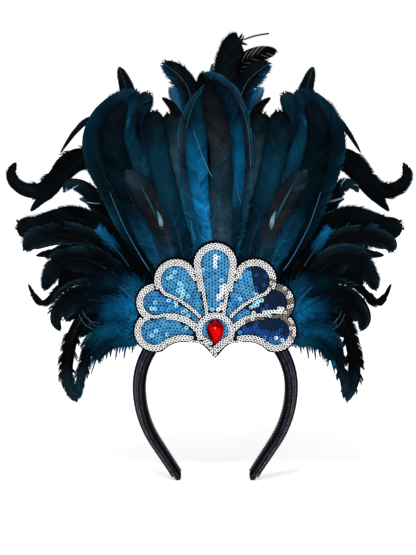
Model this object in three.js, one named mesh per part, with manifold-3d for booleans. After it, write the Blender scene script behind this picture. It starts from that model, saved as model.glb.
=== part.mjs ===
// A showgirl feather headdress: a padded headband that stands on its two tips, a scalloped sequin
// plaque with a red pear-cut stone in front of it, and a fan of dyed cockerel feathers between the two.
// Millimetres, +Z up, the wearer's face towards -Y. The part stands on z = 0 with its box centred on the origin.
import * as THREE from "three";
import { mergeVertices } from "three/addons/utils/BufferGeometryUtils.js";
import Module from "manifold-3d";

const wasm = await Module();
wasm.setup();

// Headband: a round crown, a knee that turns each leg inwards, and a straight end
const CROWN_RADIUS = 69;
const KNEE_RADIUS = 95;
const KNEE_TURN = 32.5;
const LEG_STRAIGHT = 40;
const BAND_THICK_CROWN = 9;
const BAND_THICK_TIP = 6.6;
const BAND_DEPTH_CROWN = 23;
const BAND_DEPTH_TIP = 16;
const BAND_SQUARENESS = 0.62;
const SLIMMING_FROM = 0.7;
const BRAID_SLIMMING = 0.8;
const TIP_NARROWING = 0.25;
const FOOT_FLAT = 0.6;

// Ribbon lining inside the band, and gimp braid along its front edge and its outer crest
const RIBBON_THICK = 1;
const RIBBON_SHARE = 0.72;
const BRAID_WIDTH = 4.4;
const BRAID_THICK = 1.5;
const TRIM_END_SHORT = 7;

// Plaque: felt board, seven sequin petals, a medallion, the silver braid around them all, and the stone
const MEDALLION_ABOVE_CROWN_CENTRE = 55.8;
const PLAQUE_REACH = 60;
const BOARD_THICK = 2.4;
const BOARD_MARGIN = 0.9;
const SILVER_WIDTH = 5.8;
const SILVER_BETWEEN = 3.8;
const SILVER_THICK = 2.6;
const PANEL_THICK = 1.5;
const MEDALLION_RADIUS = 12.4;
const MEDALLION_POINT = 12.8;
const MEDALLION_POINT_RIM = 1.65;
const MEDALLION_SHOULDER = 25;
const MEDALLION_RIM = 4.2;
const CUT_OVER = 1;
const GEM_WIDTH = 15.2;
const GEM_HEIGHT = 22;
const GEM_THICK = 5.2;
const GEM_POINTING = 0.42;

// Feathers: sewn on tapes that lie along the top of the band, on an arc around the crown's centre
const SEAT_RADIUS = 82.5;
const TAPE_WIDTH = 13;
const TAPE_THICK = 1.6;
const FAN_REACH = 180;
const FEATHER_WIDTH = 20;
const FEATHER_THICK = 1;
const FEATHER_SAG = 0.05;
const QUILL_WIDTH = 2.4;
const QUILL_END = 1;
const QUILL_SHARE = 0.06;
const FULL_SHARE = 0.34;
const TIP_CROWDING = 1.35;

// The fan's right half, as seen from in front, is a little fuller near the middle and shorter at its outer ends
const RIGHT_INNER = 1.04;
const RIGHT_OUTER = 0.94;

// The feathers' places are written as they show from a viewpoint in front, this far off and this high
const VIEW_DISTANCE = 1434;
const VIEW_HEIGHT = 398;

// The gap that neighbouring pieces keep
const GAP = 0.3;

// Petals of one half, from the medallion's centre, shares of PLAQUE_REACH. lobe: the round end's centre,
// [across, up]. radius: the round end's. foot: the narrow end's middle. half: half the foot's width.
// bow: how far the middle arches upwards.
const PETALS = [
  { name: "top", lobe: [0, 1.01], radius: 0.22, foot: [0, 0.3], half: 0.105, bow: 0 },
  { name: "upper", lobe: [0.58, 0.76], radius: 0.227, foot: [0.155, 0.225], half: 0.037, bow: 0.04 },
  { name: "middle", lobe: [0.883, 0.433], radius: 0.19, foot: [0.242, 0.12], half: 0.025, bow: 0.09 },
  { name: "lower", lobe: [0.9, 0], radius: 0.205, foot: [0.317, -0.045], half: 0.03, bow: 0.067 },
];

// Feather tapes. seats: degrees from upright that a tape spans. layer: its place in the stack behind the board.
const TAPES = {
  fan_front: { seats: [-20, 20], layer: 0 },
  fan_middle: { seats: [-36, 36], layer: 1 },
  fan_back: { seats: [-37, 37], layer: 2 },
  side_plume: { seats: [38.5, 52], layer: 1 },
};

// Feathers. side: 1 on the viewer's right, -1 on the left, 0 both. seat: degrees along the seat arc.
// path: the places that the shaft passes after its seat, [across, up] from the crown's centre, shares of
// FAN_REACH. width: a share of FEATHER_WIDTH. taper: the share of the vane where its tip begins.
// lean: degrees backwards. curl: degrees of lean that the tip adds. step: place in its tape's thickness, -1 to 1.
// bare: the share of the shaft that is bare at the tip.
const FEATHERS = [
  { tape: "fan_back", name: "tall", side: 1, seat: 3, width: 1.1, taper: 0.93,
    lean: 20, curl: 6, step: 0.2, bare: 0.1,
    path: [[0.03, 0.94], [0.035, 1.24], [0.04, 1.44], [0.045, 1.55], [0.06, 1.64], [0.09, 1.71],
      [0.14, 1.74], [0.2, 1.76], [0.263, 1.77]] },
  { tape: "fan_back", name: "stripe", side: 1, seat: 7, width: 0.68, taper: 0.75,
    lean: 22, curl: 6, step: 0.4,
    path: [[0.08, 0.94], [0.09, 1.24], [0.09, 1.44], [0.1, 1.55], [0.14, 1.63], [0.215, 1.67],
      [0.305, 1.685]] },
  { tape: "fan_back", name: "dark", side: -1, seat: 5, width: 0.6, taper: 0.7,
    lean: 18, curl: 5, step: -0.4,
    path: [[0.03, 0.94], [0.045, 1.24], [0.055, 1.44], [0.06, 1.59]] },
  { tape: "fan_back", name: "slip", side: -1, seat: 1, width: 0.45, taper: 0.6,
    lean: 21, curl: 6, step: 0.5,
    path: [[0.01, 0.94], [0.015, 1.24], [0.025, 1.465], [0.015, 1.625]] },
  { tape: "fan_back", name: "curl", side: 0, seat: 11, width: 0.86, taper: 0.72,
    lean: 19, curl: 8, step: -0.2,
    path: [[0.062, 0.94], [0.087, 1.24], [0.112, 1.415], [0.137, 1.51], [0.182, 1.57], [0.262, 1.63]] },
  { tape: "fan_back", name: "stub", side: 0, seat: 15, width: 0.5, taper: 0.7, lean: 21, curl: 4, step: 0.3,
    path: [[0.102, 0.94], [0.137, 1.19], [0.162, 1.365], [0.187, 1.45], [0.227, 1.51]] },
  { tape: "fan_back", name: "flat", side: 0, seat: 20, width: 0.8, taper: 0.94,
    lean: 19, curl: 5, step: -0.3,
    path: [[0.262, 0.94], [0.327, 1.19], [0.362, 1.34], [0.357, 1.42], [0.317, 1.485]] },
  { tape: "fan_back", name: "point", side: 0, seat: 24, width: 0.77, taper: 0.7,
    lean: 21, curl: 6, step: 0.3,
    path: [[0.277, 0.94], [0.352, 1.19], [0.407, 1.375], [0.432, 1.49], [0.472, 1.61]] },
  { tape: "fan_back", name: "whip", side: 0, seat: 29, width: 0.6, taper: 0.5,
    lean: 20, curl: 8, step: -0.2,
    path: [[0.302, 0.89], [0.437, 1.165], [0.537, 1.32], [0.617, 1.35], [0.692, 1.29], [0.767, 1.185]] },
  { tape: "fan_back", name: "hook", side: 0, seat: 33, width: 0.9, taper: 0.86,
    lean: 18, curl: 6, step: 0.3,
    path: [[0.352, 0.765], [0.467, 0.965], [0.567, 1.115], [0.657, 1.17], [0.737, 1.14], [0.797, 1.06],
      [0.867, 1], [0.957, 1.01], [1.012, 1.07], [0.987, 1.14]] },
  { tape: "fan_back", name: "loop", side: 0, seat: 35, width: 0.68, taper: 0.7,
    lean: 18, curl: 6, step: -0.3,
    path: [[0.377, 0.665], [0.487, 0.83], [0.577, 0.95], [0.647, 1.015], [0.717, 1.035], [0.757, 0.99]] },
  { tape: "fan_back", name: "tag", side: 0, seat: 36, width: 0.4, taper: 0.7, lean: 20, curl: 4, step: 0.2,
    path: [[0.402, 0.64], [0.537, 0.83], [0.617, 0.94], [0.677, 0.96]] },
  { tape: "fan_middle", name: "edge", side: 0, seat: 31, width: 1.2, taper: 0.86,
    lean: 11.5, curl: 6, step: 0.1,
    path: [[0.317, 0.65], [0.417, 0.83], [0.507, 1], [0.577, 1.14], [0.592, 1.25], [0.552, 1.35],
      [0.467, 1.425], [0.372, 1.485]] },
  { tape: "fan_middle", name: "inner", side: 0, seat: 26, width: 1.1, taper: 0.75,
    lean: 10.5, curl: 5, step: -0.2,
    path: [[0.277, 0.65], [0.352, 0.815], [0.427, 0.98], [0.487, 1.14], [0.512, 1.265], [0.487, 1.365],
      [0.437, 1.44]] },
  { tape: "fan_middle", name: "blade", side: 0, seat: 20, width: 0.9, taper: 0.7,
    lean: 11.5, curl: 5, step: 0.2,
    path: [[0.237, 0.765], [0.297, 0.94], [0.352, 1.09], [0.412, 1.205], [0.447, 1.305], [0.422, 1.405],
      [0.377, 1.49]] },
  { tape: "fan_middle", name: "brown", side: 0, seat: 22, width: 0.77, taper: 0.7,
    lean: 9.5, curl: 3, step: -0.4,
    path: [[0.227, 0.715], [0.267, 0.83], [0.317, 0.925], [0.377, 1.015], [0.442, 1.105]] },
  { tape: "fan_middle", name: "teal", side: 0, seat: 15, width: 0.9, taper: 0.92,
    lean: 9.5, curl: 4, step: -0.3,
    path: [[0.177, 0.75], [0.217, 0.88], [0.252, 1.04], [0.282, 1.19], [0.302, 1.3], [0.307, 1.4]] },
  { tape: "fan_middle", name: "grey", side: 0, seat: 10, width: 0.86, taper: 0.92,
    lean: 10.5, curl: 4, step: 0.2,
    path: [[0.122, 0.765], [0.147, 0.89], [0.172, 1.04], [0.192, 1.19], [0.212, 1.3], [0.217, 1.39]] },
  { tape: "fan_middle", name: "umber", side: 0, seat: 7, width: 0.64, taper: 0.7,
    lean: 11.5, curl: 6, step: 0,
    path: [[0.127, 0.99], [0.152, 1.19], [0.177, 1.33], [0.207, 1.41], [0.262, 1.46]] },
  { tape: "fan_front", name: "twin", side: -1, seat: 8, width: 0.73, taper: 0.7,
    lean: 6, curl: 6, step: 0.4,
    path: [[0.077, 0.765], [0.117, 0.915], [0.137, 1.09], [0.142, 1.265], [0.117, 1.39], [0.062, 1.48],
      [0.007, 1.53]] },
  { tape: "fan_front", name: "bright", side: -1, seat: 4, width: 0.8, taper: 0.7,
    lean: 5, curl: 5, step: -0.3,
    path: [[0.027, 0.79], [0.062, 0.94], [0.087, 1.115], [0.092, 1.265], [0.067, 1.4], [0.017, 1.5]] },
  { tape: "fan_front", name: "ink", side: 1, seat: 1, width: 0.68, taper: 0.75,
    lean: 4, curl: 4, step: -0.5,
    path: [[0.035, 0.765], [0.025, 0.94], [0.03, 1.115], [0.02, 1.265], [-0.01, 1.4], [-0.03, 1.49],
      [-0.01, 1.54]] },
  { tape: "fan_front", name: "glow", side: 1, seat: 5, width: 0.73, taper: 0.7, lean: 5, curl: 6, step: 0.2,
    path: [[0.075, 0.765], [0.085, 0.94], [0.1, 1.14], [0.095, 1.29], [0.07, 1.405], [0.02, 1.495],
      [-0.04, 1.55]] },
  { tape: "fan_front", name: "arch", side: 1, seat: 9, width: 0.64, taper: 0.7, lean: 6, curl: 7, step: 0.4,
    path: [[0.1, 0.765], [0.125, 0.94], [0.14, 1.14], [0.135, 1.29], [0.105, 1.425], [0.055, 1.51],
      [-0.015, 1.565], [-0.06, 1.575]] },
  { tape: "side_plume", name: "wing", side: 0, seat: 40, width: 1.1, taper: 0.86,
    lean: 13, curl: 4, step: 0.5,
    path: [[0.377, 0.55], [0.487, 0.715], [0.592, 0.82], [0.707, 0.865], [0.817, 0.84], [0.907, 0.81],
      [0.992, 0.83]] },
  { tape: "side_plume", name: "wing_low", side: 0, seat: 41.5, width: 1, taper: 0.8,
    lean: 12, curl: 5, step: 0.3,
    path: [[0.387, 0.515], [0.507, 0.65], [0.617, 0.735], [0.737, 0.775], [0.842, 0.765], [0.922, 0.735],
      [0.942, 0.69]] },
  { tape: "side_plume", name: "wing_end", side: 0, seat: 42.5, width: 0.45, taper: 0.7,
    lean: 14, curl: 4, step: 0.5,
    path: [[0.477, 0.6], [0.617, 0.68], [0.737, 0.71], [0.817, 0.685], [0.897, 0.675]] },
  { tape: "side_plume", name: "spark", side: 0, seat: 40, width: 0.4, taper: 0.6,
    lean: 10, curl: 0, step: -0.4,
    path: [[0.387, 0.565], [0.452, 0.655], [0.517, 0.74], [0.587, 0.82]] },
  { tape: "side_plume", name: "under", side: 0, seat: 43.5, width: 1, taper: 0.75,
    lean: 11, curl: 5, step: 0.2,
    path: [[0.417, 0.505], [0.547, 0.61], [0.667, 0.66], [0.767, 0.64], [0.827, 0.57], [0.857, 0.495]] },
  { tape: "side_plume", name: "claw", side: 0, seat: 44.5, width: 0.6, taper: 0.6,
    lean: 9, curl: 5, step: 0,
    path: [[0.427, 0.465], [0.567, 0.54], [0.697, 0.555], [0.787, 0.495], [0.857, 0.435], [0.907, 0.47],
      [0.937, 0.535]] },
  { tape: "side_plume", name: "ragged", side: 0, seat: 46, width: 1, taper: 0.75,
    lean: 8, curl: 4, step: -0.2,
    path: [[0.427, 0.425], [0.567, 0.475], [0.687, 0.475], [0.767, 0.42], [0.802, 0.35], [0.777, 0.29]] },
  { tape: "side_plume", name: "long", side: 0, seat: 47.5, width: 0.86, taper: 0.88,
    lean: 10, curl: 6, step: 0.3,
    path: [[0.417, 0.365], [0.537, 0.41], [0.637, 0.39], [0.702, 0.3], [0.737, 0.18], [0.747, 0.05],
      [0.702, -0.075]] },
  { tape: "side_plume", name: "droop", side: 0, seat: 48.5, width: 0.6, taper: 0.8,
    lean: 7, curl: 4, step: 0,
    path: [[0.407, 0.33], [0.512, 0.36], [0.587, 0.315], [0.627, 0.225], [0.657, 0.125], [0.687, 0.025],
      [0.687, -0.055]] },
  { tape: "side_plume", name: "down_high", side: 0, seat: 44, width: 1.1, taper: 0.4,
    lean: 5, curl: 2, step: -0.4,
    path: [[0.392, 0.49], [0.467, 0.525], [0.557, 0.54], [0.617, 0.52]] },
  { tape: "side_plume", name: "down_mid", side: 0, seat: 47, width: 1.35, taper: 0.4,
    lean: 5, curl: 0, step: -0.5,
    path: [[0.387, 0.38], [0.477, 0.4], [0.587, 0.38]] },
  { tape: "side_plume", name: "down_low", side: 0, seat: 49.5, width: 0.9, taper: 0.5,
    lean: 5, curl: 2, step: -0.3,
    path: [[0.397, 0.29], [0.487, 0.3], [0.567, 0.275], [0.632, 0.205]] },
  { tape: "side_plume", name: "fringe", side: 0, seat: 51, width: 0.55, taper: 0.5,
    lean: 5, curl: 0, step: -0.5,
    path: [[0.402, 0.24], [0.477, 0.24], [0.547, 0.21], [0.597, 0.14]] },
];

// How finely curves are cut
const BAND_STEPS = 13;
const BAND_SIDES = 12;
const BRAID_SIDES = 6;
const TIP_STEPS = 3;
const TIP_END = 0.35;
const PETAL_STEPS = 5;
const LOBE_STEPS = 9;
const FEATHER_EXTRA_STEPS = 3;
const SPLINE_CUTS = 8;
const TAPE_STEP = 9;
const GEM_SIDES = 16;
const CURVE_STEPS = 10;

const CROWN_ARC = (Math.PI / 2) * CROWN_RADIUS;
const KNEE_ANGLE = rad(KNEE_TURN);
const KNEE_ARC = KNEE_ANGLE * KNEE_RADIUS;
const HALF_BAND = CROWN_ARC + KNEE_ARC + LEG_STRAIGHT;
const TIP_RADIUS = BAND_THICK_TIP / 2;
const CROWN_CENTRE =
  KNEE_RADIUS * Math.sin(KNEE_ANGLE) + (LEG_STRAIGHT - TIP_RADIUS) * Math.cos(KNEE_ANGLE) + TIP_RADIUS - FOOT_FLAT;
const MEDALLION_CENTRE = CROWN_CENTRE + MEDALLION_ABOVE_CROWN_CENTRE;

// The stack in front of the band, from the band forwards
const BOARD_BACK = -BAND_DEPTH_CROWN / 2 - GAP - BRAID_THICK - GAP;
const BOARD_FRONT = BOARD_BACK - BOARD_THICK;
const PANEL_BACK = BOARD_FRONT - GAP;
const PANEL_FRONT = PANEL_BACK - PANEL_THICK;

function rad(degrees) {
  return (degrees * Math.PI) / 180;
}

function mix(a, b, t) {
  return a + (b - a) * t;
}

// A smooth step from 0 at a to 1 at b
function ease(a, b, t) {
  const u = Math.min(1, Math.max(0, (t - a) / (b - a)));
  return u * u * (3 - 2 * u);
}

// The value at share t of an evenly spaced list
function along(list, t) {
  const at = Math.min(t, 1) * (list.length - 1);
  const i = Math.min(Math.floor(at), list.length - 2);
  return mix(list[i], list[i + 1], at - i);
}

// A closed body through rings of equal length, with a flat fan over each end
function loft(rings) {
  const sides = rings[0].length;
  const points = rings.flat();
  const index = [];
  for (let r = 0; r < rings.length - 1; r++)
    for (let i = 0; i < sides; i++) {
      const a = r * sides + i;
      const b = r * sides + ((i + 1) % sides);
      index.push(a, b, b + sides, a, b + sides, a + sides);
    }
  const last = (rings.length - 1) * sides;
  for (let i = 1; i < sides - 1; i++) index.push(0, i + 1, i, last, last + i, last + i + 1);
  const geometry = new THREE.BufferGeometry().setFromPoints(points).setIndex(index);
  return signedVolume(geometry) < 0 ? turnedOut(geometry) : geometry;
}

function signedVolume(geometry) {
  const p = geometry.attributes.position;
  const corner = (n) => new THREE.Vector3().fromBufferAttribute(p, geometry.index.getX(n));
  let sum = 0;
  for (let i = 0; i < geometry.index.count; i += 3)
    sum += corner(i).dot(corner(i + 1).cross(corner(i + 2)));
  return sum / 6;
}

function turnedOut(geometry) {
  const index = Array.from(geometry.index.array);
  for (let i = 0; i < index.length; i += 3) [index[i + 1], index[i + 2]] = [index[i + 2], index[i + 1]];
  return geometry.setIndex(index);
}

// Booleans
function solid(geometry) {
  const bare = new THREE.BufferGeometry().setAttribute("position", geometry.attributes.position.clone());
  if (geometry.index) bare.setIndex(geometry.index.clone());
  const merged = mergeVertices(bare, 1e-4);
  return new wasm.Manifold(
    new wasm.Mesh({
      numProp: 3,
      vertProperties: new Float32Array(merged.attributes.position.array),
      triVerts: new Uint32Array(merged.index.array),
    }),
  );
}

function joined(geometries) {
  return geometries.map(solid).reduce((whole, next) => whole.add(next));
}

// The outer skin alone: where feathers cross at their roots, the pockets between them are filled
function filled(made) {
  return wasm.Manifold.compose(made.decompose().filter((piece) => piece.volume() > 0));
}

function geometryOf(made) {
  const mesh = made.getMesh();
  return new THREE.BufferGeometry()
    .setAttribute("position", new THREE.BufferAttribute(new Float32Array(mesh.vertProperties), 3))
    .setIndex(new THREE.BufferAttribute(new Uint32Array(mesh.triVerts), 1));
}

// Headband: the point at a distance from the crown's top, with the band's outward direction there
function bandAt(distance) {
  const d = Math.abs(distance);
  const side = Math.sign(distance) || 1;
  if (d <= CROWN_ARC) {
    const a = d / CROWN_RADIUS;
    return frameAt(side, CROWN_RADIUS * Math.sin(a), CROWN_CENTRE + CROWN_RADIUS * Math.cos(a), Math.sin(a), Math.cos(a));
  }
  const b = Math.min((d - CROWN_ARC) / KNEE_RADIUS, KNEE_ANGLE);
  const rest = Math.max(d - CROWN_ARC - KNEE_ARC, 0);
  return frameAt(
    side,
    CROWN_RADIUS - KNEE_RADIUS * (1 - Math.cos(b)) - rest * Math.sin(b),
    CROWN_CENTRE - KNEE_RADIUS * Math.sin(b) - rest * Math.cos(b),
    Math.cos(b),
    -Math.sin(b),
  );
}

function frameAt(side, x, z, nx, nz) {
  return { at: new THREE.Vector3(side * x, 0, z), out: new THREE.Vector3(side * nx, 0, nz) };
}

// How far along the leg the band has slimmed, 0 over the crown and 1 at the tip
function slimming(distance) {
  return ease(CROWN_ARC * SLIMMING_FROM, HALF_BAND, Math.abs(distance));
}

function bandThick(distance) {
  return mix(BAND_THICK_CROWN, BAND_THICK_TIP, slimming(distance));
}

function bandDepth(distance) {
  return mix(BAND_DEPTH_CROWN, BAND_DEPTH_TIP, slimming(distance));
}

// Distances for a sweep that stops short of both tips by the given length
function bandStations(short) {
  const half = HALF_BAND - short;
  return Array.from({ length: 2 * BAND_STEPS + 1 }, (_, i) => ((i - BAND_STEPS) / BAND_STEPS) * half);
}

// A section in the band's own frame: out is along the outward direction, deep is along Y
function placed(distance, section) {
  const { at, out } = bandAt(distance);
  return section.map(([o, deep]) => at.clone().addScaledVector(out, o).setY(deep));
}

function bandSection(distance, squeeze, narrow) {
  const power = (v) => Math.sign(v) * Math.abs(v) ** BAND_SQUARENESS;
  return Array.from({ length: BAND_SIDES }, (_, i) => {
    const a = ((i + 0.5) / BAND_SIDES) * 2 * Math.PI;
    return [
      (squeeze * bandThick(distance) * power(Math.cos(a))) / 2,
      (narrow * bandDepth(distance) * power(Math.sin(a))) / 2,
    ];
  });
}

// The band's half thickness at a share of its half depth
function bandHalfThick(distance, share) {
  return (bandThick(distance) / 2) * (1 - share ** (2 / BAND_SQUARENESS)) ** (BAND_SQUARENESS / 2);
}

// The rounded tip is closed in rings, each further out and smaller, and its underside is cut flat to stand on
function headband() {
  const rings = bandStations(TIP_RADIUS).map((d) => placed(d, bandSection(d, 1, 1)));
  const tip = (side) =>
    Array.from({ length: TIP_STEPS }, (_, i) => {
      const t = Math.sin(((i + 1) / (TIP_STEPS + TIP_END)) * (Math.PI / 2));
      const d = side * (HALF_BAND - TIP_RADIUS * (1 - t));
      return placed(d, bandSection(d, Math.sqrt(1 - t * t), 1 - TIP_NARROWING * t * t));
    });
  const whole = solid(loft([...tip(-1).reverse(), ...rings, ...tip(1)]));
  const below = new THREE.BoxGeometry(4 * CROWN_RADIUS, 4 * BAND_DEPTH_CROWN, BAND_DEPTH_TIP);
  return geometryOf(whole.subtract(solid(below.translate(0, 0, -BAND_DEPTH_TIP / 2))));
}

function bandLining() {
  const shares = [-RIBBON_SHARE, -RIBBON_SHARE / 3, RIBBON_SHARE / 3, RIBBON_SHARE];
  return loft(
    bandStations(TRIM_END_SHORT).map((d) => {
      const inner = shares.map((s) => [-bandHalfThick(d, Math.abs(s)) - GAP, (s * bandDepth(d)) / 2]);
      const face = inner.map(([o, deep]) => [o - RIBBON_THICK, deep]).reverse();
      return placed(d, [...inner, ...face]);
    }),
  );
}

function braidWide(distance) {
  return BRAID_WIDTH * mix(1, BRAID_SLIMMING, slimming(distance));
}

// A flat oval section, wide one way and thin the other
function braidSection(wide) {
  return Array.from({ length: BRAID_SIDES }, (_, i) => {
    const a = (i / BRAID_SIDES) * 2 * Math.PI;
    return [(wide / 2) * Math.cos(a), (BRAID_THICK / 2) * Math.sin(a)];
  });
}

function frontBraid() {
  return loft(
    bandStations(TRIM_END_SHORT).map((d) => {
      const deep = -bandDepth(d) / 2 - GAP - BRAID_THICK / 2;
      return placed(d, braidSection(braidWide(d)).map(([across, thick]) => [across, deep + thick]));
    }),
  );
}

function outerBraid() {
  return loft(
    bandStations(TRIM_END_SHORT).map((d) => {
      const out = bandThick(d) / 2 + GAP + BRAID_THICK / 2;
      return placed(d, braidSection(braidWide(d)).map(([across, thick]) => [out + thick, across]));
    }),
  );
}

// Plaque shapes, drawn in X and Z about the medallion's centre, grown outwards by the given width
function petalPoints(petal, side, grow) {
  const [fromX, fromZ] = petal.foot.map((v) => v * PLAQUE_REACH);
  const [toX, toZ] = petal.lobe.map((v) => v * PLAQUE_REACH);
  const radius = petal.radius * PLAQUE_REACH + grow;
  const half = petal.half * PLAQUE_REACH + grow;
  const heading = Math.atan2(toX - fromX, toZ - fromZ);
  const bow = petal.bow * PLAQUE_REACH;
  const chord = Math.hypot(toX - fromX, toZ - fromZ);
  const axis = (t) => {
    const rise = bow * 4 * t * (1 - t);
    return [mix(fromX, toX, t) - rise * Math.cos(heading), mix(fromZ, toZ, t) + rise * Math.sin(heading)];
  };
  const turn = (t) => heading + Math.atan((4 * bow * (2 * t - 1)) / chord);
  const flank = (way) =>
    Array.from({ length: PETAL_STEPS }, (_, i) => {
      const t = i / PETAL_STEPS;
      const [x, z] = axis(t);
      const wide = way * mix(half, radius, t);
      const [footX, footZ] = i === 0 ? [grow * Math.sin(turn(0)), grow * Math.cos(turn(0))] : [0, 0];
      return [x + wide * Math.cos(turn(t)) - footX, z - wide * Math.sin(turn(t)) - footZ];
    });
  const round = Array.from({ length: LOBE_STEPS + 1 }, (_, i) => {
    const a = turn(1) - Math.PI / 2 + (i / LOBE_STEPS) * Math.PI;
    return [toX + radius * Math.sin(a), toZ + radius * Math.cos(a)];
  });
  return [...flank(-1), ...round, ...flank(1).reverse()].map(([x, z]) => new THREE.Vector2(side * x, z));
}

// A round top whose sides run in to a point below
function medallionShape(grow) {
  const r = MEDALLION_RADIUS + grow;
  const low = -MEDALLION_POINT - grow * MEDALLION_POINT_RIM;
  const shoulder = rad(MEDALLION_SHOULDER);
  const shape = new THREE.Shape();
  shape.absarc(0, 0, r, -shoulder, Math.PI + shoulder, false);
  shape.quadraticCurveTo(-r * 0.38, low * 0.62, 0, low);
  shape.quadraticCurveTo(r * 0.38, low * 0.62, r * Math.cos(shoulder), -r * Math.sin(shoulder));
  return shape;
}

// Extrudes a shape forwards from the face at y = back
function slab(shape, back, thick) {
  return new THREE.ExtrudeGeometry(shape, { depth: thick, bevelEnabled: false, curveSegments: CURVE_STEPS })
    .rotateX(Math.PI / 2)
    .translate(0, back, MEDALLION_CENTRE);
}

const HALVES = [
  { side: -1, word: "left" },
  { side: 1, word: "right" },
];

function petalSlab(petal, side, grow, back, thick) {
  return slab(new THREE.Shape(petalPoints(petal, side, grow)), back, thick);
}

// A petal's window in the braid: the petal less a braid's width beside the medallion and the petal above it
function petalWindow(index, side, grow, back, thick) {
  const over = [back + CUT_OVER, thick + 2 * CUT_OVER];
  const rim = slab(medallionShape(MEDALLION_RIM - grow), ...over);
  const whole = solid(petalSlab(PETALS[index], side, grow, back, thick)).subtract(solid(rim));
  if (index === 0) return whole;
  return whole.subtract(solid(petalSlab(PETALS[index - 1], side, SILVER_BETWEEN - grow, ...over)));
}

// Every petal as { name, index, side }, the top one once
function allPetals() {
  return PETALS.flatMap(({ name, lobe }, index) =>
    lobe[0] === 0
      ? [{ name, index, side: 1 }]
      : HALVES.map(({ side, word }) => ({ name: name + "_" + word, index, side })),
  );
}

function outline(grow, back, thick) {
  const petals = allPetals().map(({ index, side }) => petalSlab(PETALS[index], side, grow, back, thick));
  return joined([...petals, slab(medallionShape(grow), back, thick)]);
}

function plaqueBoard() {
  return geometryOf(outline(SILVER_WIDTH + BOARD_MARGIN, BOARD_BACK, BOARD_THICK));
}

function silverBraid() {
  const back = PANEL_BACK + CUT_OVER;
  const through = SILVER_THICK + 2 * CUT_OVER;
  const windows = allPetals().map(({ index, side }) => petalWindow(index, side, GAP, back, through));
  windows.push(solid(slab(medallionShape(GAP), back, through)));
  const whole = outline(SILVER_WIDTH, PANEL_BACK, SILVER_THICK);
  return geometryOf(windows.reduce((left, window) => left.subtract(window), whole));
}

// The stone: a pear outline, round above and pointed below, with a table, a crown and a flat back.
// scale: a share of the outline. deep: a share of GEM_THICK in front of the stone's back.
const GEM_RINGS = [
  { scale: 0.86, deep: 0 },
  { scale: 1, deep: 0.3 },
  { scale: 0.8, deep: 0.72 },
  { scale: 0.5, deep: 1 },
];

function pearRing({ scale, deep }) {
  return Array.from({ length: GEM_SIDES }, (_, i) => {
    const a = (i / GEM_SIDES) * 2 * Math.PI;
    const down = (1 - Math.cos(a)) / 2;
    const across = (GEM_WIDTH / 2) * Math.sin(a) * (1.08 - GEM_POINTING * down ** 1.6);
    const up = (GEM_HEIGHT / 2) * Math.cos(a);
    return new THREE.Vector3(scale * across, PANEL_FRONT - GAP - deep * GEM_THICK, MEDALLION_CENTRE + scale * up);
  });
}

function stone() {
  return loft(GEM_RINGS.map(pearRing));
}

// Feathers
function tapeMiddle(tape) {
  return BOARD_BACK + GAP + TAPE_THICK / 2 + tape.layer * (TAPE_THICK + GAP);
}

function seatAt(degrees, side, radius = SEAT_RADIUS) {
  return new THREE.Vector3(
    side * radius * Math.sin(rad(degrees)),
    0,
    CROWN_CENTRE + radius * Math.cos(rad(degrees)),
  );
}

function tapeStrip(tape, side) {
  const [from, to] = tape.seats;
  const steps = Math.max(1, Math.round((to - from) / TAPE_STEP));
  return loft(
    Array.from({ length: steps + 1 }, (_, i) =>
      [
        [-1, -1],
        [1, -1],
        [1, 1],
        [-1, 1],
      ].map(([across, deep]) =>
        seatAt(mix(from, to, i / steps), side, SEAT_RADIUS + (across * TAPE_WIDTH) / 2).setY(
          tapeMiddle(tape) + (deep * TAPE_THICK) / 2,
        ),
      ),
    ),
  );
}

// A Catmull-Rom curve through the given points, cut finely, as [x, z] pairs
function curveThrough(points) {
  const reach = (i) => points[Math.min(Math.max(i, 0), points.length - 1)];
  const cuts = [points[0]];
  for (let i = 0; i < points.length - 1; i++)
    for (let k = 1; k <= SPLINE_CUTS; k++) {
      const t = k / SPLINE_CUTS;
      const weights = [-t + 2 * t * t - t ** 3, 2 - 5 * t * t + 3 * t ** 3, t + 4 * t * t - 3 * t ** 3, t ** 3 - t * t];
      cuts.push([0, 1].map((axis) => weights.reduce((sum, w, n) => sum + (w * reach(i - 1 + n)[axis]) / 2, 0)));
    }
  return cuts;
}

// Half the vane's width at share t of the feather
function vaneHalf(feather, t) {
  const end = 1 - (feather.bare ?? 0);
  const u = Math.max(0, (t / end - feather.taper) / (1 - feather.taper));
  const closing = Math.sqrt(Math.max(0, 1 - u ** 2));
  const vane = mix(QUILL_WIDTH, FEATHER_WIDTH * feather.width, ease(QUILL_SHARE, FULL_SHARE, t)) * closing;
  return Math.max(vane, mix(QUILL_WIDTH, QUILL_END, t)) / 2;
}

function rightReach(across) {
  return mix(RIGHT_INNER, RIGHT_OUTER, ease(0.35, 0.75, across));
}

// The place that shows at x and z from the viewpoint and lies at depth y
function behind(x, y, z) {
  const far = 1 + y / VIEW_DISTANCE;
  return new THREE.Vector3(x * far, y, VIEW_HEIGHT + (z - VIEW_HEIGHT) * far);
}

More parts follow.
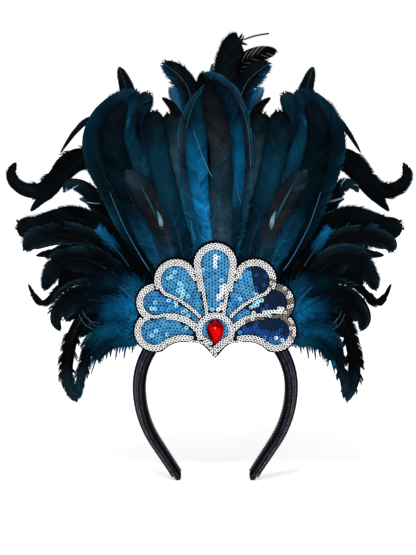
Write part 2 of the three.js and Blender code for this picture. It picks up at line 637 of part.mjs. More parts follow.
// The feather's shaft: stations with their share t, place, and the vane's two axes
function shaftOf(feather, side) {
  const tape = TAPES[feather.tape];
  const root = seatAt(feather.seat, side);
  const cuts = curveThrough([
    [root.x, root.z],
    ...feather.path.map(([across, up]) => [
      side * across * (feather.side === 0 && side > 0 ? rightReach(across) : 1) * FAN_REACH,
      CROWN_CENTRE + up * FAN_REACH,
    ]),
  ]);
  const far = [0];
  for (let i = 1; i < cuts.length; i++)
    far.push(far[i - 1] + Math.hypot(cuts[i][0] - cuts[i - 1][0], cuts[i][1] - cuts[i - 1][1]));
  const length = far[far.length - 1];
  let y = tapeMiddle(tape) + (feather.step * TAPE_THICK) / 2;
  const places = cuts.map(([x, z], i) => {
    const t = far[i] / length;
    const lean = rad(feather.lean * ease(TAPE_WIDTH / 2, TAPE_WIDTH * 2.5, far[i]) + feather.curl * t * t);
    if (i > 0) y += (far[i] - far[i - 1]) * Math.tan(lean);
    return behind(x, y, z);
  });
  const steps = feather.path.length + FEATHER_EXTRA_STEPS;
  return Array.from({ length: steps + 1 }, (_, n) => {
    const t = 1 - (1 - n / steps) ** TIP_CROWDING;
    let i = 1;
    while (i < cuts.length - 1 && far[i] < t * length) i++;
    const share = (t * length - far[i - 1]) / (far[i] - far[i - 1]);
    const ahead = places[i].clone().sub(places[i - 1]).normalize();
    const wide = new THREE.Vector3(ahead.z, 0, -ahead.x).multiplyScalar(side).normalize();
    const face = new THREE.Vector3().crossVectors(ahead, wide).multiplyScalar(side).normalize();
    return { t, place: places[i - 1].clone().lerp(places[i], share), wide, face };
  });
}

function featherBlade(feather, side) {
  return loft(
    shaftOf(feather, side).map(({ t, place, wide, face }) => {
      const half = vaneHalf(feather, t);
      const back = place.clone().addScaledVector(face, -FEATHER_THICK / 2 - half * FEATHER_SAG);
      const edge = (way) => back.clone().addScaledVector(wide, way * half);
      return [edge(-1), place.clone().addScaledVector(face, FEATHER_THICK / 2), edge(1)];
    }),
  );
}

function plume(name, side) {
  const tape = TAPES[name];
  const blades = FEATHERS.filter((f) => f.tape === name).flatMap((f) => {
    if (side) return [featherBlade(f, side)];
    return HALVES.filter((h) => f.side === 0 || f.side === h.side).map((h) => featherBlade(f, h.side));
  });
  return geometryOf(filled(joined([tapeStrip(tape, side || 1), ...blades])));
}

// Materials
const satin = new THREE.MeshStandardMaterial({ color: 0x0b1024, roughness: 0.45, metalness: 0 });
const ribbon = new THREE.MeshStandardMaterial({ color: 0x08080c, roughness: 0.7, metalness: 0 });
const gimp = new THREE.MeshStandardMaterial({ color: 0x1c1a1c, roughness: 0.6, metalness: 0 });
const felt = new THREE.MeshStandardMaterial({ color: 0x060608, roughness: 0.95, metalness: 0 });
const sequins = new THREE.MeshStandardMaterial({ color: 0x3f9fd8, roughness: 0.25, metalness: 0.4 });
const silver = new THREE.MeshStandardMaterial({ color: 0xd8d4d0, roughness: 0.3, metalness: 0.7 });
const ruby = new THREE.MeshStandardMaterial({ color: 0xd00808, roughness: 0.1, metalness: 0 });
const feathers = new THREE.MeshStandardMaterial({ color: 0x06222f, roughness: 0.6, metalness: 0 });

function named(name, geometry, material) {
  const mesh = new THREE.Mesh(geometry, material);
  mesh.name = name;
  return mesh;
}

const group = new THREE.Group();
group.add(
  named("headband", headband(), satin),
  named("band_lining", bandLining(), ribbon),
  named("front_braid", frontBraid(), gimp),
  named("outer_braid", outerBraid(), gimp),
  named("plaque_board", plaqueBoard(), felt),
  named("silver_braid", silverBraid(), silver),
  named("medallion", slab(medallionShape(0), PANEL_BACK, PANEL_THICK), sequins),
  named("stone", stone(), ruby),
);
for (const { name, index, side } of allPetals())
  group.add(named("petal_" + name, geometryOf(petalWindow(index, side, 0, PANEL_BACK, PANEL_THICK)), sequins));
for (const name of ["fan_front", "fan_middle", "fan_back"]) group.add(named(name, plume(name, 0), feathers));
for (const { side, word } of HALVES) group.add(named("side_plume_" + word, plume("side_plume", side), feathers));

// Stand the part on z = 0 with its box centred on the origin
const box = new THREE.Box3().setFromObject(group);
const middle = box.getCenter(new THREE.Vector3());
group.position.set(-middle.x, -middle.y, -box.min.z);

export default group;
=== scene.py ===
"""The looks of the showgirl feather headdress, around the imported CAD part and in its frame.

Lengths are millimetres until a mesh is made, and most repeat the part's own sizes. The stage is in metres.
"""

import math

import bpy
import numpy as np
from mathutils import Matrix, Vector
from mathutils.geometry import delaunay_2d_cdt


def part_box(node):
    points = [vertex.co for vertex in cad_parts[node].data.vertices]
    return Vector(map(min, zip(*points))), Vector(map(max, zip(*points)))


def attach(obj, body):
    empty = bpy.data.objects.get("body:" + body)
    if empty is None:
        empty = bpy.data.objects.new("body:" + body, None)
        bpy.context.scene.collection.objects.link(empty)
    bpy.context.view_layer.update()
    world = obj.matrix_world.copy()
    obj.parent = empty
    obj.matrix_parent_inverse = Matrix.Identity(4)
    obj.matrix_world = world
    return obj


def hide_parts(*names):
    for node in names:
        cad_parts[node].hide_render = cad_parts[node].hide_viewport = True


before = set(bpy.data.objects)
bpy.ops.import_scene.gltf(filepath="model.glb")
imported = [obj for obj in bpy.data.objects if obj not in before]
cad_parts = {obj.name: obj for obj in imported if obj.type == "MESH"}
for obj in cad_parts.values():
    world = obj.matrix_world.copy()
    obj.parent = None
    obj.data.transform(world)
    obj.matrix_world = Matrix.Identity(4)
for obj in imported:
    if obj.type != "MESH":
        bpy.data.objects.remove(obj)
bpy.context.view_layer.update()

MM = 0.001

# The band's middle plane and the plaque's axis of symmetry, from the frame
BAND_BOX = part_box("headband")
AXIS_X = (BAND_BOX[0].x + BAND_BOX[1].x) / 2
BAND_Y = (BAND_BOX[0].y + BAND_BOX[1].y) / 2

# Headband
CROWN_RADIUS = 69
KNEE_RADIUS = 95
KNEE_TURN = 32.5
LEG_STRAIGHT = 40
BAND_THICK_CROWN = 9
BAND_THICK_TIP = 6.6
BAND_DEPTH_CROWN = 23
BAND_DEPTH_TIP = 16
BAND_SQUARENESS = 0.62
BAND_STEPS = 200
BAND_SIDES = 36
TIP_STEPS = 7
SATIN_GRAIN = 8
SLIMMING_FROM = 0.7
BRAID_SLIMMING = 0.8
TIP_NARROWING = 0.25
FOOT_FLAT = 0.6
PUCKER_PITCH = 7
PUCKER_DEPTH = 0.12
PUCKER_WANDER = 2.2
PUCKER_WANDER_LENGTH = 17
PUCKER_SLANT = 1.5
SATIN_SHADE = 0.8
SATIN_EDGE = [-0.1, 0.15]

# Ribbon and gimp braid. Sizes of loops and stitches are half length, half width and half height
RIBBON_THICK = 1
RIBBON_SHARE = 0.72
RIBBON_SHADE = 0.9
RIBBON_CUTS = 13
BRAID_WIDTH = 4.4
BRAID_THICK = 1.5
TRIM_END_SHORT = 5
PICOT_PITCH = 2.1
PICOT_SIZE = [PICOT_PITCH * 0.42, 0.7, 1.4]
PICOT_OUT = 1.03
PICOT_BACK = 0.75
KNOT_PITCH = 2.0
KNOT_SIZE = [KNOT_PITCH * 0.42, 0.6, 0.5]
KNOT_RISE = 0.7
KNOT_SHADES = [0.3, 1.7]

# Rows of stitches on the gimp braid: share of its width, slant in degrees, colour
KNOT_ROWS = [(-0.33, 32, "steel"), (0.33, -32, "brown"), (0, 0, "ink")]

# Plaque
MEDALLION_ABOVE_CROWN_CENTRE = 55.8
PLAQUE_REACH = 60
BOARD_THICK = 2.4
BOARD_MARGIN = 1.8
BOARD_LOW_SHARE = 0.4
FELT_SHADE = 0.8
SILVER_WIDTH = 5.8
SILVER_BETWEEN = 3.8
SILVER_THICK = 2.6
PANEL_THICK = 1.5
MEDALLION_RADIUS = 12.4
MEDALLION_POINT = 12.8
MEDALLION_POINT_RIM = 1.65
MEDALLION_SHOULDER = 25
MEDALLION_WAIST = [0.38, 0.62]
MEDALLION_RIM = 4.2
MEDALLION_SHADE = 0.6
PETAL_CUTS = 16
LOBE_CUTS = 33
MEDALLION_CUTS = 40
WAIST_CUTS = 9
GAP = 0.3

# Sequins. cup: how far the ring dips. loose: how unevenly they are sewn. gain: how much brighter than their
# colour. stitch: the thread's radius in shares of the hole's, and how far it stands in front of the ring.
# SEQUIN_INSIDE is a share of the radius and SILVER_NEAREST one of the pitch. Tilts are in degrees.
SEQUIN_PITCH = 3.1
SEQUIN_ROW = 2.75
SEQUIN_TILT = 7
SEQUIN_ROWS_EACH_SIDE = 6
SEQUIN_WANDER = 0.12
SEQUIN_INSIDE = 0.3
SEQUIN = {"radius": 1.82, "hole": 0.6, "thick": 0.16, "sides": 10, "cup": 0.1, "loose": 1, "colour": "sequin",
          "gain": 1, "stitch": [1.2, 0.1], "thread": "thread", "thread_shades": [0.6, 1.4]}
SILVER_PITCH = 3
SILVER_NEAREST = 0.82
SILVER_INSIDE = 0.55
SILVER_TILT = 8
SILVER_ROWS = [1.45, 4.35]
SILVER_POINT_RIM = 2.15
SILVER_POINT_ROWS = [0.9, 3.4, 5]
SILVER_SEQUIN = {"radius": 1.5, "hole": 0.8, "thick": 0.3, "sides": 8, "cup": 0.08, "loose": 2,
                 "colour": "silver", "gain": 1.35, "stitch": [1.1, 0.3], "thread": "shadow",
                 "thread_shades": [0.1, 0.9]}
TAPE_SHORT = 0.6
STITCH_RISE = 0.28
SEWN_RISE = 0.15
# Painted light on each sequin and stitch, as shares of its colour: shade in the middle, highlight at the rim
RIM_PAINTED_LIGHT = [0.45, 1.5]
CUP_PLACES = [0.5, 0.6]
BRIGHTEST = 0.95
LIFT_SPREAD = 3
ROLL_SPREAD = 4
OWN_SHADES = [0.72, 1.25]
STROKE_SHADES = [0.7, 1.15]
STROKE_EDGE = [0.8, 1.1]

# Stone. GEM_RINGS: each ring's size and depth as shares. Then the painted shade of the crown's facets, as
# shares
# of the colour: the star facets, the kites and the two below each. Painted light: how far a facet's colour
# goes from garnet to ruby by the way it faces, the least that the table shows, and the darker edge and back.
GEM_WIDTH = 16.2
GEM_HEIGHT = 22
GEM_THICK = 5.2
GEM_POINTING = 0.42
GEM_BELLY = 1.08
GEM_SHOULDER = 1.6
GEM_MIDDLE = 0.4
GEM_SIDES = 8
GEM_RINGS = {"hub": (0.12, 1), "table": (0.5, 1), "star": (0.76, 0.78), "girdle": (1, 0.3), "back": (0.86, 0)}
CROWN_PAINTED_SHADES = [0.85, 0.5, 0.22, 0.35]
FACET_LIGHT_LEVEL = 0.62
FACET_LIGHT_ACROSS = 0.55
FACET_LIGHT_DOWN = 0.5
FACET_LIGHT_SPREAD = 0.3
TABLE_LEAST_LIGHT = 0.55
EDGE_FACET_PAINTED_SHADE = 0.12
# A painted glint: a small square near the top of the table, its size and rise as shares of the stone's
FLARE_SIZE = 0.09
FLARE_UP = 0.17

# The braid's smooth lower edge between the lower petals and the point, [across, up] from the medallion's
# centre in shares of PLAQUE_REACH
NOTCH = [[0.1, -0.29], [0.15, -0.24], [0.2, -0.21], [0.26, -0.188], [0.33, -0.172], [0.42, -0.16],
         [0.5, -0.1], [0.3, 0.0], [0.1, -0.1]]

# Feathers
SEAT_RADIUS = 82.5
TAPE_WIDTH = 13
TAPE_THICK = 1.6
FAN_REACH = 180
FEATHER_WIDTH = 20
QUILL_SHARE = 0.06
FULL_SHARE = 0.34
QUILL_WIDTH = 2.4
RIGHT_INNER = 1.04
RIGHT_OUTER = 0.94
RIGHT_SPAN = [0.35, 0.75]
LEAN_SPAN = [0.5, 2.5]
CURVE_CUTS = 16
TAPE_CUTS = 25
VIEW_DISTANCE = 1434
VIEW_HEIGHT = 398
SHAFT_RADII = [0.75, 0.2]
SHOWN_RADII = [0.28, 0.14]
BARE_RADIUS = 0.85
SHAFT_BEHIND = 0.45
SHOWN_FRONT = 0.25
SHAFT_SHADE = 0.7
SHAFT_STEP = 4
SHAFT_SIDES = 6
LOOSE_STRETCH = 0.35
LOOSE_DRIFT = 0.25
GRAIN_APART = 1.7
FEATHER_GAIN = 0.56

# Barbs of a vane, with the shares of a barb where it is cut and its half widths there
BARB_PITCH = 1.07
BARB_THICK = 0.3
BARB_OVERLAP = 1.45
BARB_ANGLES = [55, 33]
BARB_SHINGLE = 0.16
BARB_SAG = 0.06
BARB_CUTS = [0, 0.36, 0.78, 1]
BARB_WIDTHS = [1, 1, 0.9, 0.2]
BARB_WAVE = 0.07
BARB_CURVE = [1.15, 0.95]
BARB_SHORTEST = 0.3
BARB_GRAIN = 4
REACH_ROUNDS = 16
TIP_CLEAR = 0.004
CLUMP = 9
CLUMP_SWING = 2.2
BARB_SWING = 0.8
CLUMP_RAGGED = 0.16
BARB_RAGGED = 0.04
CLUMP_SHADE = 0.2
BARB_SHADE = 0.14
RIM_SHARE = 0.8
RIM_POWER = 7
RIM_ALONG = [0.2, 0.5]
# Painted shade: how much darker the barbs grow towards the vane's edge, where feathers overlap, and how fast
VANE_EDGE_PAINTED_SHADE = 0.75
EDGE_POWER = 4
STRIPE_SLANT = 1.5
STRIPE_WANDER = 0.5
STRIPE_WIDTH = 0.8
STRIPE_ROOT = [0.15, 0.5]

# The blade behind the barbs
WEB_SHARE = 0.86
WEB_TORN = 0.45
WEB_BEHIND = 0.5
WEB_THICK = 0.3
# How much darker the blade is behind a feather's barbs, as painted shade
WEB_PAINTED_SHADE = 0.7
WEB_STEP = 3
WEB_TIP_CLEAR = 0.01

# Down: barbs of fluff all along a feather, or of the tuft at its root
DOWN_PITCH = 0.24
DOWN_WIDTH = 0.5
DOWN_WIDTHS = [0.9, 1, 0.85, 0.6, 0.2]
DOWN_REACH = 15
DOWN_ALONG = [0.03, 0.95]
DOWN_ANGLES = [60, 34]
DOWN_SWING = 11
DOWN_LENGTHS = [0.55, 1.15]
DOWN_SWAY = 0.09
DOWN_LIFT = [-2.4, 0.8]
DOWN_CURL = 0.06
DOWN_WAVES = [3, 8]
DOWN_CURLS = 5
DOWN_TILT = 0.3
DOWN_SHADES = [1.05, 0.22]
DOWN_GRAIN = 6
ROOT_DOWN = [0.05, 0.46]
ROOT_DOWN_PITCH = 1.2
ROOT_DOWN_REACH = 12

# Stage, in metres, watts and degrees
FLOOR_SIZE = 12
FLOOR_BELOW = 0.0002
FLOOR_WHITE = 0.8
FLOOR_GLOW = [0.5, 0.9]
FLOOR_GLOW_REACH = 1.2
SKY_LIGHT = 0.35
LIGHT_AIM = 0.22
LIGHTS = [
    {"name": "key", "at": (-0.25, -0.9, 1.8), "size": 0.5, "power": 19},
    {"name": "left", "at": (-1.4, -1.3, 0.7), "size": 0.9, "power": 13},
    {"name": "right", "at": (1.5, -1.2, 0.6), "size": 0.9, "power": 8.5},
    {"name": "back", "at": (0.3, 1.4, 1.1), "size": 1.2, "power": 6},
]
CAMERA_RISE = 8.5
CAMERA_DISTANCE = 1.45
CAMERA_AIM = 0.1863
CAMERA_SENSOR = 36
CAMERA_LENS = 139.4
CAMERA_SHIFT = -0.0175

# Colours of the dyed feathers, plastics and fabrics, and of painted reflections and glints, as the screen
# shows them
PALETTE = {
    "ink": (5, 8, 11),
    "soot": (10, 19, 25),
    "night": (3, 21, 31),
    "deep": (4, 37, 54),
    "teal": (8, 54, 74),
    "ocean": (10, 80, 112),
    "blue": (11, 103, 153),
    "bright": (20, 128, 188),
    "vivid": (30, 152, 220),
    "slate": (27, 55, 68),
    "harbour": (19, 51, 68),
    "grey": (48, 82, 98),
    "haze": (58, 116, 150),
    "umber": (32, 36, 40),
    "pale": (130, 170, 196),
    "pewter": (104, 94, 90),
    "white": (236, 244, 248),
    "light": (150, 208, 238),
    "sequin": (62, 134, 178),
    "azure": (36, 112, 168),
    "cobalt": (10, 64, 128),
    "navy": (2, 26, 54),
    "silver": (244, 242, 240),
    "shadow": (46, 44, 46),
    "thread": (2, 12, 28),
    "ruby": (232, 2, 2),
    "garnet": (92, 0, 4),
    "glint_pink": (255, 120, 120),
    "brown": (104, 82, 70),
    "steel": (44, 58, 84),
}

# Petals of one half, as in the part
PETALS = [
    {"name": "top", "lobe": [0, 1.01], "radius": 0.22, "foot": [0, 0.3], "half": 0.105, "bow": 0},
    {"name": "upper", "lobe": [0.58, 0.76], "radius": 0.227, "foot": [0.155, 0.225], "half": 0.037,
     "bow": 0.04},
    {"name": "middle", "lobe": [0.883, 0.433], "radius": 0.19, "foot": [0.242, 0.12], "half": 0.025,
     "bow": 0.09},
    {"name": "lower", "lobe": [0.9, 0], "radius": 0.205, "foot": [0.317, -0.045], "half": 0.03, "bow": 0.067},
]

# Where sequins differ from their own colour, as strokes: colour, start and end as [across, up] from the
# medallion's centre and half width, in shares of PLAQUE_REACH, and the share of the sequins that it colours.
# The first row is uneven tone. The rest are painted reflections: navy, cobalt and azure patches where sequins
# reflect darker or paler surroundings, and white and light glints.
SEQUIN_TONE_AND_REFLECTIONS = [
    ["azure", [-1.2, 0.5], [1.2, 0.5], 1, 0.2],
    ["light", [-1.2, 0.5], [1.2, 0.5], 1, 0.05],
    ["cobalt", [0.67, 0.9], [0.7, 0.72], 0.17, 1],
    ["cobalt", [0.76, 0.5], [0.95, 0.42], 0.18, 1],
    ["cobalt", [0.56, 0.06], [1.0, 0.04], 0.17, 1],
    ["navy", [0.67, 0.9], [0.7, 0.72], 0.15, 0.85],
    ["navy", [0.76, 0.5], [0.95, 0.42], 0.17, 0.85],
    ["navy", [0.53, 0.34], [0.63, 0.31], 0.06, 1],
    ["white", [0.52, 0.245], [1.03, 0.33], 0.035, 1],
    ["light", [0.54, 0.4], [0.68, 0.52], 0.07, 1],
    ["navy", [0.56, 0.08], [1.0, 0.06], 0.14, 0.85],
    ["cobalt", [0.5, 0.0], [0.92, -0.05], 0.05, 1],
    ["azure", [0.8, -0.16], [0.98, -0.16], 0.06, 1],
    ["white", [1.02, -0.13], [1.04, -0.13], 0.03, 1],
    ["white", [0.9, -0.1], [0.91, -0.1], 0.02, 1],
    ["white", [0.005, 1.12], [0.01, 0.98], 0.03, 1],
    ["white", [0.12, 0.66], [0.05, 0.3], 0.05, 0.8],
    ["light", [-0.62, 0.84], [-0.44, 0.5], 0.06, 0.5],
    ["light", [-0.56, 0.43], [-0.28, 0.17], 0.06, 0.6],
    ["azure", [-0.98, 0.46], [-0.62, 0.36], 0.14, 0.5],
]
# Painted reflections on the braid, as strokes like those above: pewter where its sequins reflect dark
# surroundings.
SILVER_DARK_REFLECTIONS = [
    ["pewter", [0.84, 0.72], [1.1, 0.5], 0.09, 0.7],
    ["pewter", [1.12, 0.4], [1.02, 0.2], 0.1, 0.7],
    ["pewter", [0.5, 0.12], [1.0, 0.22], 0.06, 0.7],
    ["pewter", [1.1, 0.1], [1.12, -0.05], 0.06, 0.7],
]

# Feather tapes, as in the part
TAPES = {
    "fan_front": {"seats": [-20, 20], "layer": 0},
    "fan_middle": {"seats": [-36, 36], "layer": 1},
    "fan_back": {"seats": [-37, 37], "layer": 2},
    "side_plume": {"seats": [38.5, 52], "layer": 1},
}

# Feathers of each tape, with their looks: those of the part, and also hook_point, the fill rows and
# fringe_low. side: -1 left, 1 right, 0 a mirrored pair. seat: degrees round the crown. width: shares of
# FEATHER_WIDTH. taper: where the vane begins to narrow. lean and curl: degrees backwards at the root and
# gained to the tip. step: where in the tape's thickness. look: the colours from root to tip. path: [across,
# up] from the crown's centre in shares of FAN_REACH. A row may end with more. rim: the colour of the barbs'
# ends, on one side where rim_way says. quill: the shaft's colour where it shows in front. stripes: how far
# apart barbs of the stripe colour lie. ragged: how much shorter some clumps of barbs are. clump: barbs in a
# clump. bare: the tip's share without barbs. down: a feather that is fluff all along.
# On the side plumes the rim is painted sheen, grey-blue on the black barbs' ends.
FEATHER_COLUMNS = ["name", "side", "seat", "width", "taper", "lean", "curl", "step", "look", "path", "more"]
FEATHERS = {
    "fan_back": [
        ["tall", 1, 3, 1.25, 0.975, 20, 6, 0.2, "deep deep soot soot",
         [[0.03, 0.94], [0.035, 1.24], [0.04, 1.44], [0.045, 1.55], [0.06, 1.64], [0.09, 1.71],
          [0.14, 1.74], [0.2, 1.76], [0.263, 1.77]], {"bare": 0.09, "ragged": 0}],
        ["stripe", 1, 7, 0.95, 0.88, 22, 6, 0.4, "deep night ink ink",
         [[0.08, 0.94], [0.09, 1.24], [0.09, 1.44], [0.1, 1.55], [0.14, 1.63], [0.215, 1.67],
          [0.305, 1.685]], {"stripes": 5.5, "stripe": "pewter"}],
        ["dark", -1, 5, 1.0, 0.86, 18, 5, -0.4, "night ink ink ink",
         [[0.03, 0.94], [0.045, 1.24], [0.055, 1.44], [0.06, 1.59]]],
        ["slip", -1, 1, 0.55, 0.6, 21, 6, 0.5, "deep ocean haze haze",
         [[0.01, 0.94], [0.015, 1.24], [0.025, 1.465], [0.015, 1.625]]],
        ["curl", 0, 11, 1.25, 0.9, 19, 8, -0.2, "deep deep night soot",
         [[0.062, 0.94], [0.087, 1.24], [0.112, 1.415], [0.137, 1.51], [0.182, 1.57], [0.262, 1.63]],
          {"quill": "grey", "ragged": 0.3, "rim": "blue", "rim_way": 1}],
        ["stub", 0, 15, 0.8, 0.9, 21, 4, 0.3, "deep teal harbour haze",
         [[0.102, 0.94], [0.137, 1.19], [0.162, 1.365], [0.187, 1.45], [0.227, 1.51]], {"ragged": 0.3}],
        ["flat", 0, 20, 0.95, 0.94, 19, 5, -0.3, "deep deep harbour harbour",
         [[0.262, 0.94], [0.327, 1.19], [0.362, 1.34], [0.357, 1.42], [0.317, 1.485]]],
        ["point", 0, 24, 0.95, 0.8, 21, 6, 0.3, "deep night soot soot",
         [[0.277, 0.94], [0.352, 1.19], [0.407, 1.375], [0.432, 1.49], [0.472, 1.61]], {"quill": "slate"}],
        ["whip", 0, 29, 0.55, 0.25, 20, 8, -0.2, "deep teal deep soot",
         [[0.302, 0.89], [0.437, 1.165], [0.537, 1.32], [0.617, 1.35], [0.692, 1.29], [0.767, 1.185]]],
        ["hook", 0, 33, 1.05, 0.76, 18, 6, 0.3, "deep ink ink soot",
         [[0.352, 0.765], [0.467, 0.965], [0.567, 1.115], [0.657, 1.17], [0.737, 1.14], [0.797, 1.06],
          [0.867, 1], [0.957, 1.01], [1.012, 1.07], [0.987, 1.14]], {"ragged": 0.35, "clump": 5}],
        ["hook_point", 0, 34, 0.95, 0.6, 18, 6, 0.1, "deep ink ink soot",
         [[0.352, 0.765], [0.467, 0.965], [0.567, 1.11], [0.66, 1.145], [0.75, 1.08], [0.82, 0.995],
          [0.875, 0.945], [0.92, 0.895]]],
        ["loop", 0, 35, 0.95, 0.75, 18, 6, -0.3, "deep ink ink ink ink soot slate",
         [[0.377, 0.665], [0.487, 0.83], [0.577, 0.95], [0.647, 1.015], [0.717, 1.035], [0.757, 0.99]],
          {"ragged": 0.5, "stripes": 13, "stripe": "pale"}],
        ["tag", 0, 36, 0.7, 0.75, 20, 4, 0.2, "deep ink ink soot night haze",
         [[0.402, 0.64], [0.537, 0.83], [0.617, 0.94], [0.677, 0.96]],
          {"ragged": 0.5, "stripes": 13, "stripe": "pale"}],
    ],
    "fan_middle": [
        ["edge", 0, 31, 1.4, 0.88, 11.5, 6, 0.1, "teal ink night night deep harbour",
         [[0.317, 0.65], [0.417, 0.83], [0.507, 1], [0.577, 1.14], [0.592, 1.25], [0.552, 1.35],
          [0.467, 1.425], [0.372, 1.485]], {"rim": "teal", "rim_way": 1}],
        ["inner", 0, 26, 1.25, 0.8, 10.5, 5, -0.2, "blue ocean night night soot",
         [[0.277, 0.65], [0.352, 0.815], [0.427, 0.98], [0.487, 1.14], [0.512, 1.265], [0.487, 1.365],
          [0.437, 1.44]]],
        ["blade", 0, 20, 1.1, 0.75, 11.5, 5, 0.2, "ocean harbour teal deep",
         [[0.237, 0.765], [0.297, 0.94], [0.352, 1.09], [0.412, 1.205], [0.447, 1.305], [0.422, 1.405],
          [0.377, 1.49]]],
        ["brown", 0, 22, 1.3, 0.7, 9.5, 3, -0.4, "blue ocean umber umber slate",
         [[0.227, 0.715], [0.267, 0.83], [0.317, 0.925], [0.377, 1.015], [0.442, 1.105]]],
        ["teal", 0, 15, 1.15, 0.93, 9.5, 4, -0.3, "ocean deep teal ink",
         [[0.177, 0.75], [0.217, 0.88], [0.252, 1.04], [0.282, 1.19], [0.302, 1.3], [0.307, 1.4]]],
        ["grey", 0, 10, 1.15, 0.93, 10.5, 4, 0.2, "ocean slate grey ink",
         [[0.122, 0.765], [0.147, 0.89], [0.172, 1.04], [0.192, 1.19], [0.212, 1.3], [0.217, 1.39]]],
        ["umber", 0, 7, 0.8, 0.6, 11.5, 6, 0, "ocean umber umber ink",
         [[0.127, 0.99], [0.152, 1.19], [0.177, 1.33], [0.207, 1.41], [0.262, 1.46]]],
    ],
    "fan_front": [
        ["twin", -1, 8, 0.85, 0.75, 6, 6, 0.4, "blue ocean umber teal",
         [[0.077, 0.765], [0.117, 0.915], [0.137, 1.09], [0.142, 1.265], [0.117, 1.39], [0.062, 1.48],
          [0.007, 1.53]], {"rim": "ocean", "rim_way": 1}],
        ["bright", -1, 4, 1.05, 0.75, 5, 5, -0.3, "bright vivid bright blue teal night",
         [[0.027, 0.79], [0.062, 0.94], [0.087, 1.115], [0.092, 1.265], [0.067, 1.4], [0.017, 1.5]],
          {"ragged": 0.35}],
        ["ink", 1, 1, 1.12, 0.78, 4, 4, -0.5, "ocean grey slate umber ink",
         [[0.035, 0.765], [0.025, 0.94], [0.03, 1.115], [0.02, 1.265], [-0.01, 1.4], [-0.03, 1.49],
          [-0.01, 1.54]]],
        ["glow", 1, 5, 1.0, 0.75, 5, 6, 0.2, "ocean teal teal blue deep night",
         [[0.075, 0.765], [0.085, 0.94], [0.1, 1.14], [0.095, 1.29], [0.07, 1.405], [0.02, 1.495],
          [-0.04, 1.55]]],
        ["arch", 1, 9, 0.85, 0.75, 6, 7, 0.4, "blue ocean umber umber teal",
         [[0.1, 0.765], [0.125, 0.94], [0.14, 1.14], [0.135, 1.29], [0.105, 1.425], [0.055, 1.51],
          [-0.015, 1.565], [-0.06, 1.575]], {"rim": "ocean", "rim_way": 1}],
    ],
    "side_plume": [
        ["wing", 0, 40, 1.3, 0.93, 13, 4, 0.5, "deep ink ink ink soot",
         [[0.377, 0.55], [0.487, 0.715], [0.592, 0.82], [0.707, 0.865], [0.817, 0.84], [0.907, 0.81],
          [0.992, 0.83]], {"rim": "soot", "ragged": 0.12}],
        ["wing_low", 0, 41.5, 1.3, 0.88, 12, 5, 0.3, "deep ink ink ink soot",
         [[0.387, 0.515], [0.507, 0.65], [0.617, 0.735], [0.737, 0.775], [0.842, 0.765], [0.922, 0.735],
          [0.942, 0.69]], {"rim": "slate", "ragged": 0.5}],
        ["wing_end", 0, 42.5, 0.7, 0.7, 14, 4, 0.5, "deep ink ink soot",
         [[0.477, 0.6], [0.617, 0.68], [0.737, 0.71], [0.817, 0.685], [0.897, 0.675]], {"ragged": 0.5}],
        ["spark", 0, 40, 0.5, 0.8, 10, 0, -0.4, "deep ink ink ink ink night blue vivid",
         [[0.387, 0.565], [0.452, 0.655], [0.517, 0.74], [0.587, 0.82]], {"down": True}],
        ["under", 0, 43.5, 1.45, 0.6, 11, 5, 0.2, "deep ink ink soot",
         [[0.417, 0.505], [0.547, 0.61], [0.667, 0.66], [0.767, 0.64], [0.827, 0.57], [0.857, 0.495]],
          {"ragged": 0.4, "rim": "slate"}],
        ["claw", 0, 44.5, 0.65, 0.4, 9, 5, 0, "deep ink ink ink",
         [[0.427, 0.465], [0.567, 0.54], [0.697, 0.555], [0.787, 0.495], [0.857, 0.435], [0.907, 0.47],
          [0.937, 0.535]], {"ragged": 0.6, "clump": 3}],
        ["ragged", 0, 46, 1.5, 0.55, 8, 4, -0.2, "ocean night ink soot",
         [[0.427, 0.425], [0.567, 0.475], [0.687, 0.475], [0.767, 0.42], [0.802, 0.35], [0.777, 0.29]],
          {"ragged": 0.8, "rim": "slate"}],
        ["long", 0, 47.5, 0.96, 0.8, 10, 6, 0.3, "blue soot ink ink slate",
         [[0.417, 0.365], [0.537, 0.41], [0.637, 0.39], [0.702, 0.3], [0.737, 0.18], [0.747, 0.05],
          [0.702, -0.075]], {"ragged": 0.75, "clump": 6}],
        ["droop", 0, 48.5, 0.72, 0.75, 7, 4, 0, "blue night ink soot harbour",
         [[0.407, 0.33], [0.512, 0.36], [0.587, 0.315], [0.627, 0.225], [0.657, 0.125], [0.687, 0.025],
          [0.687, -0.055]], {"ragged": 0.8, "clump": 5}],
        ["fill_high", 0, 42, 1.5, 0.6, 13, 4, 0.4, "deep ink ink soot",
         [[0.43, 0.5], [0.57, 0.585], [0.69, 0.59], [0.785, 0.515]], {"ragged": 0.3}],
        ["fill_mid", 0, 45, 1.5, 0.6, 12, 4, 0.3, "deep ink ink soot",
         [[0.43, 0.41], [0.57, 0.455], [0.69, 0.43], [0.75, 0.34]], {"ragged": 0.4}],
        ["fill_low", 0, 47, 1.0, 0.6, 12, 4, 0.2, "blue night ink soot",
         [[0.42, 0.35], [0.53, 0.375], [0.62, 0.34], [0.68, 0.26]], {"ragged": 0.3}],
        ["down_high", 0, 44, 1.1, 0.4, 5, 2, -0.4, "vivid bright deep night",
         [[0.392, 0.49], [0.467, 0.525], [0.557, 0.54], [0.617, 0.52]], {"down": True}],
        ["down_mid", 0, 47, 1.35, 0.4, 5, 0, -0.5, "vivid vivid blue deep",
         [[0.387, 0.38], [0.477, 0.4], [0.587, 0.38]], {"down": True}],
        ["down_low", 0, 49.5, 0.9, 0.5, 5, 2, -0.3, "vivid blue ocean deep",
         [[0.397, 0.29], [0.487, 0.3], [0.567, 0.275], [0.632, 0.205]], {"down": True}],
        ["fringe_low", 0, 50.5, 0.95, 0.6, 5, 2, -0.2, "ocean teal teal deep",
         [[0.402, 0.27], [0.487, 0.265], [0.56, 0.23], [0.62, 0.15]], {"ragged": 0.85, "clump": 4}],
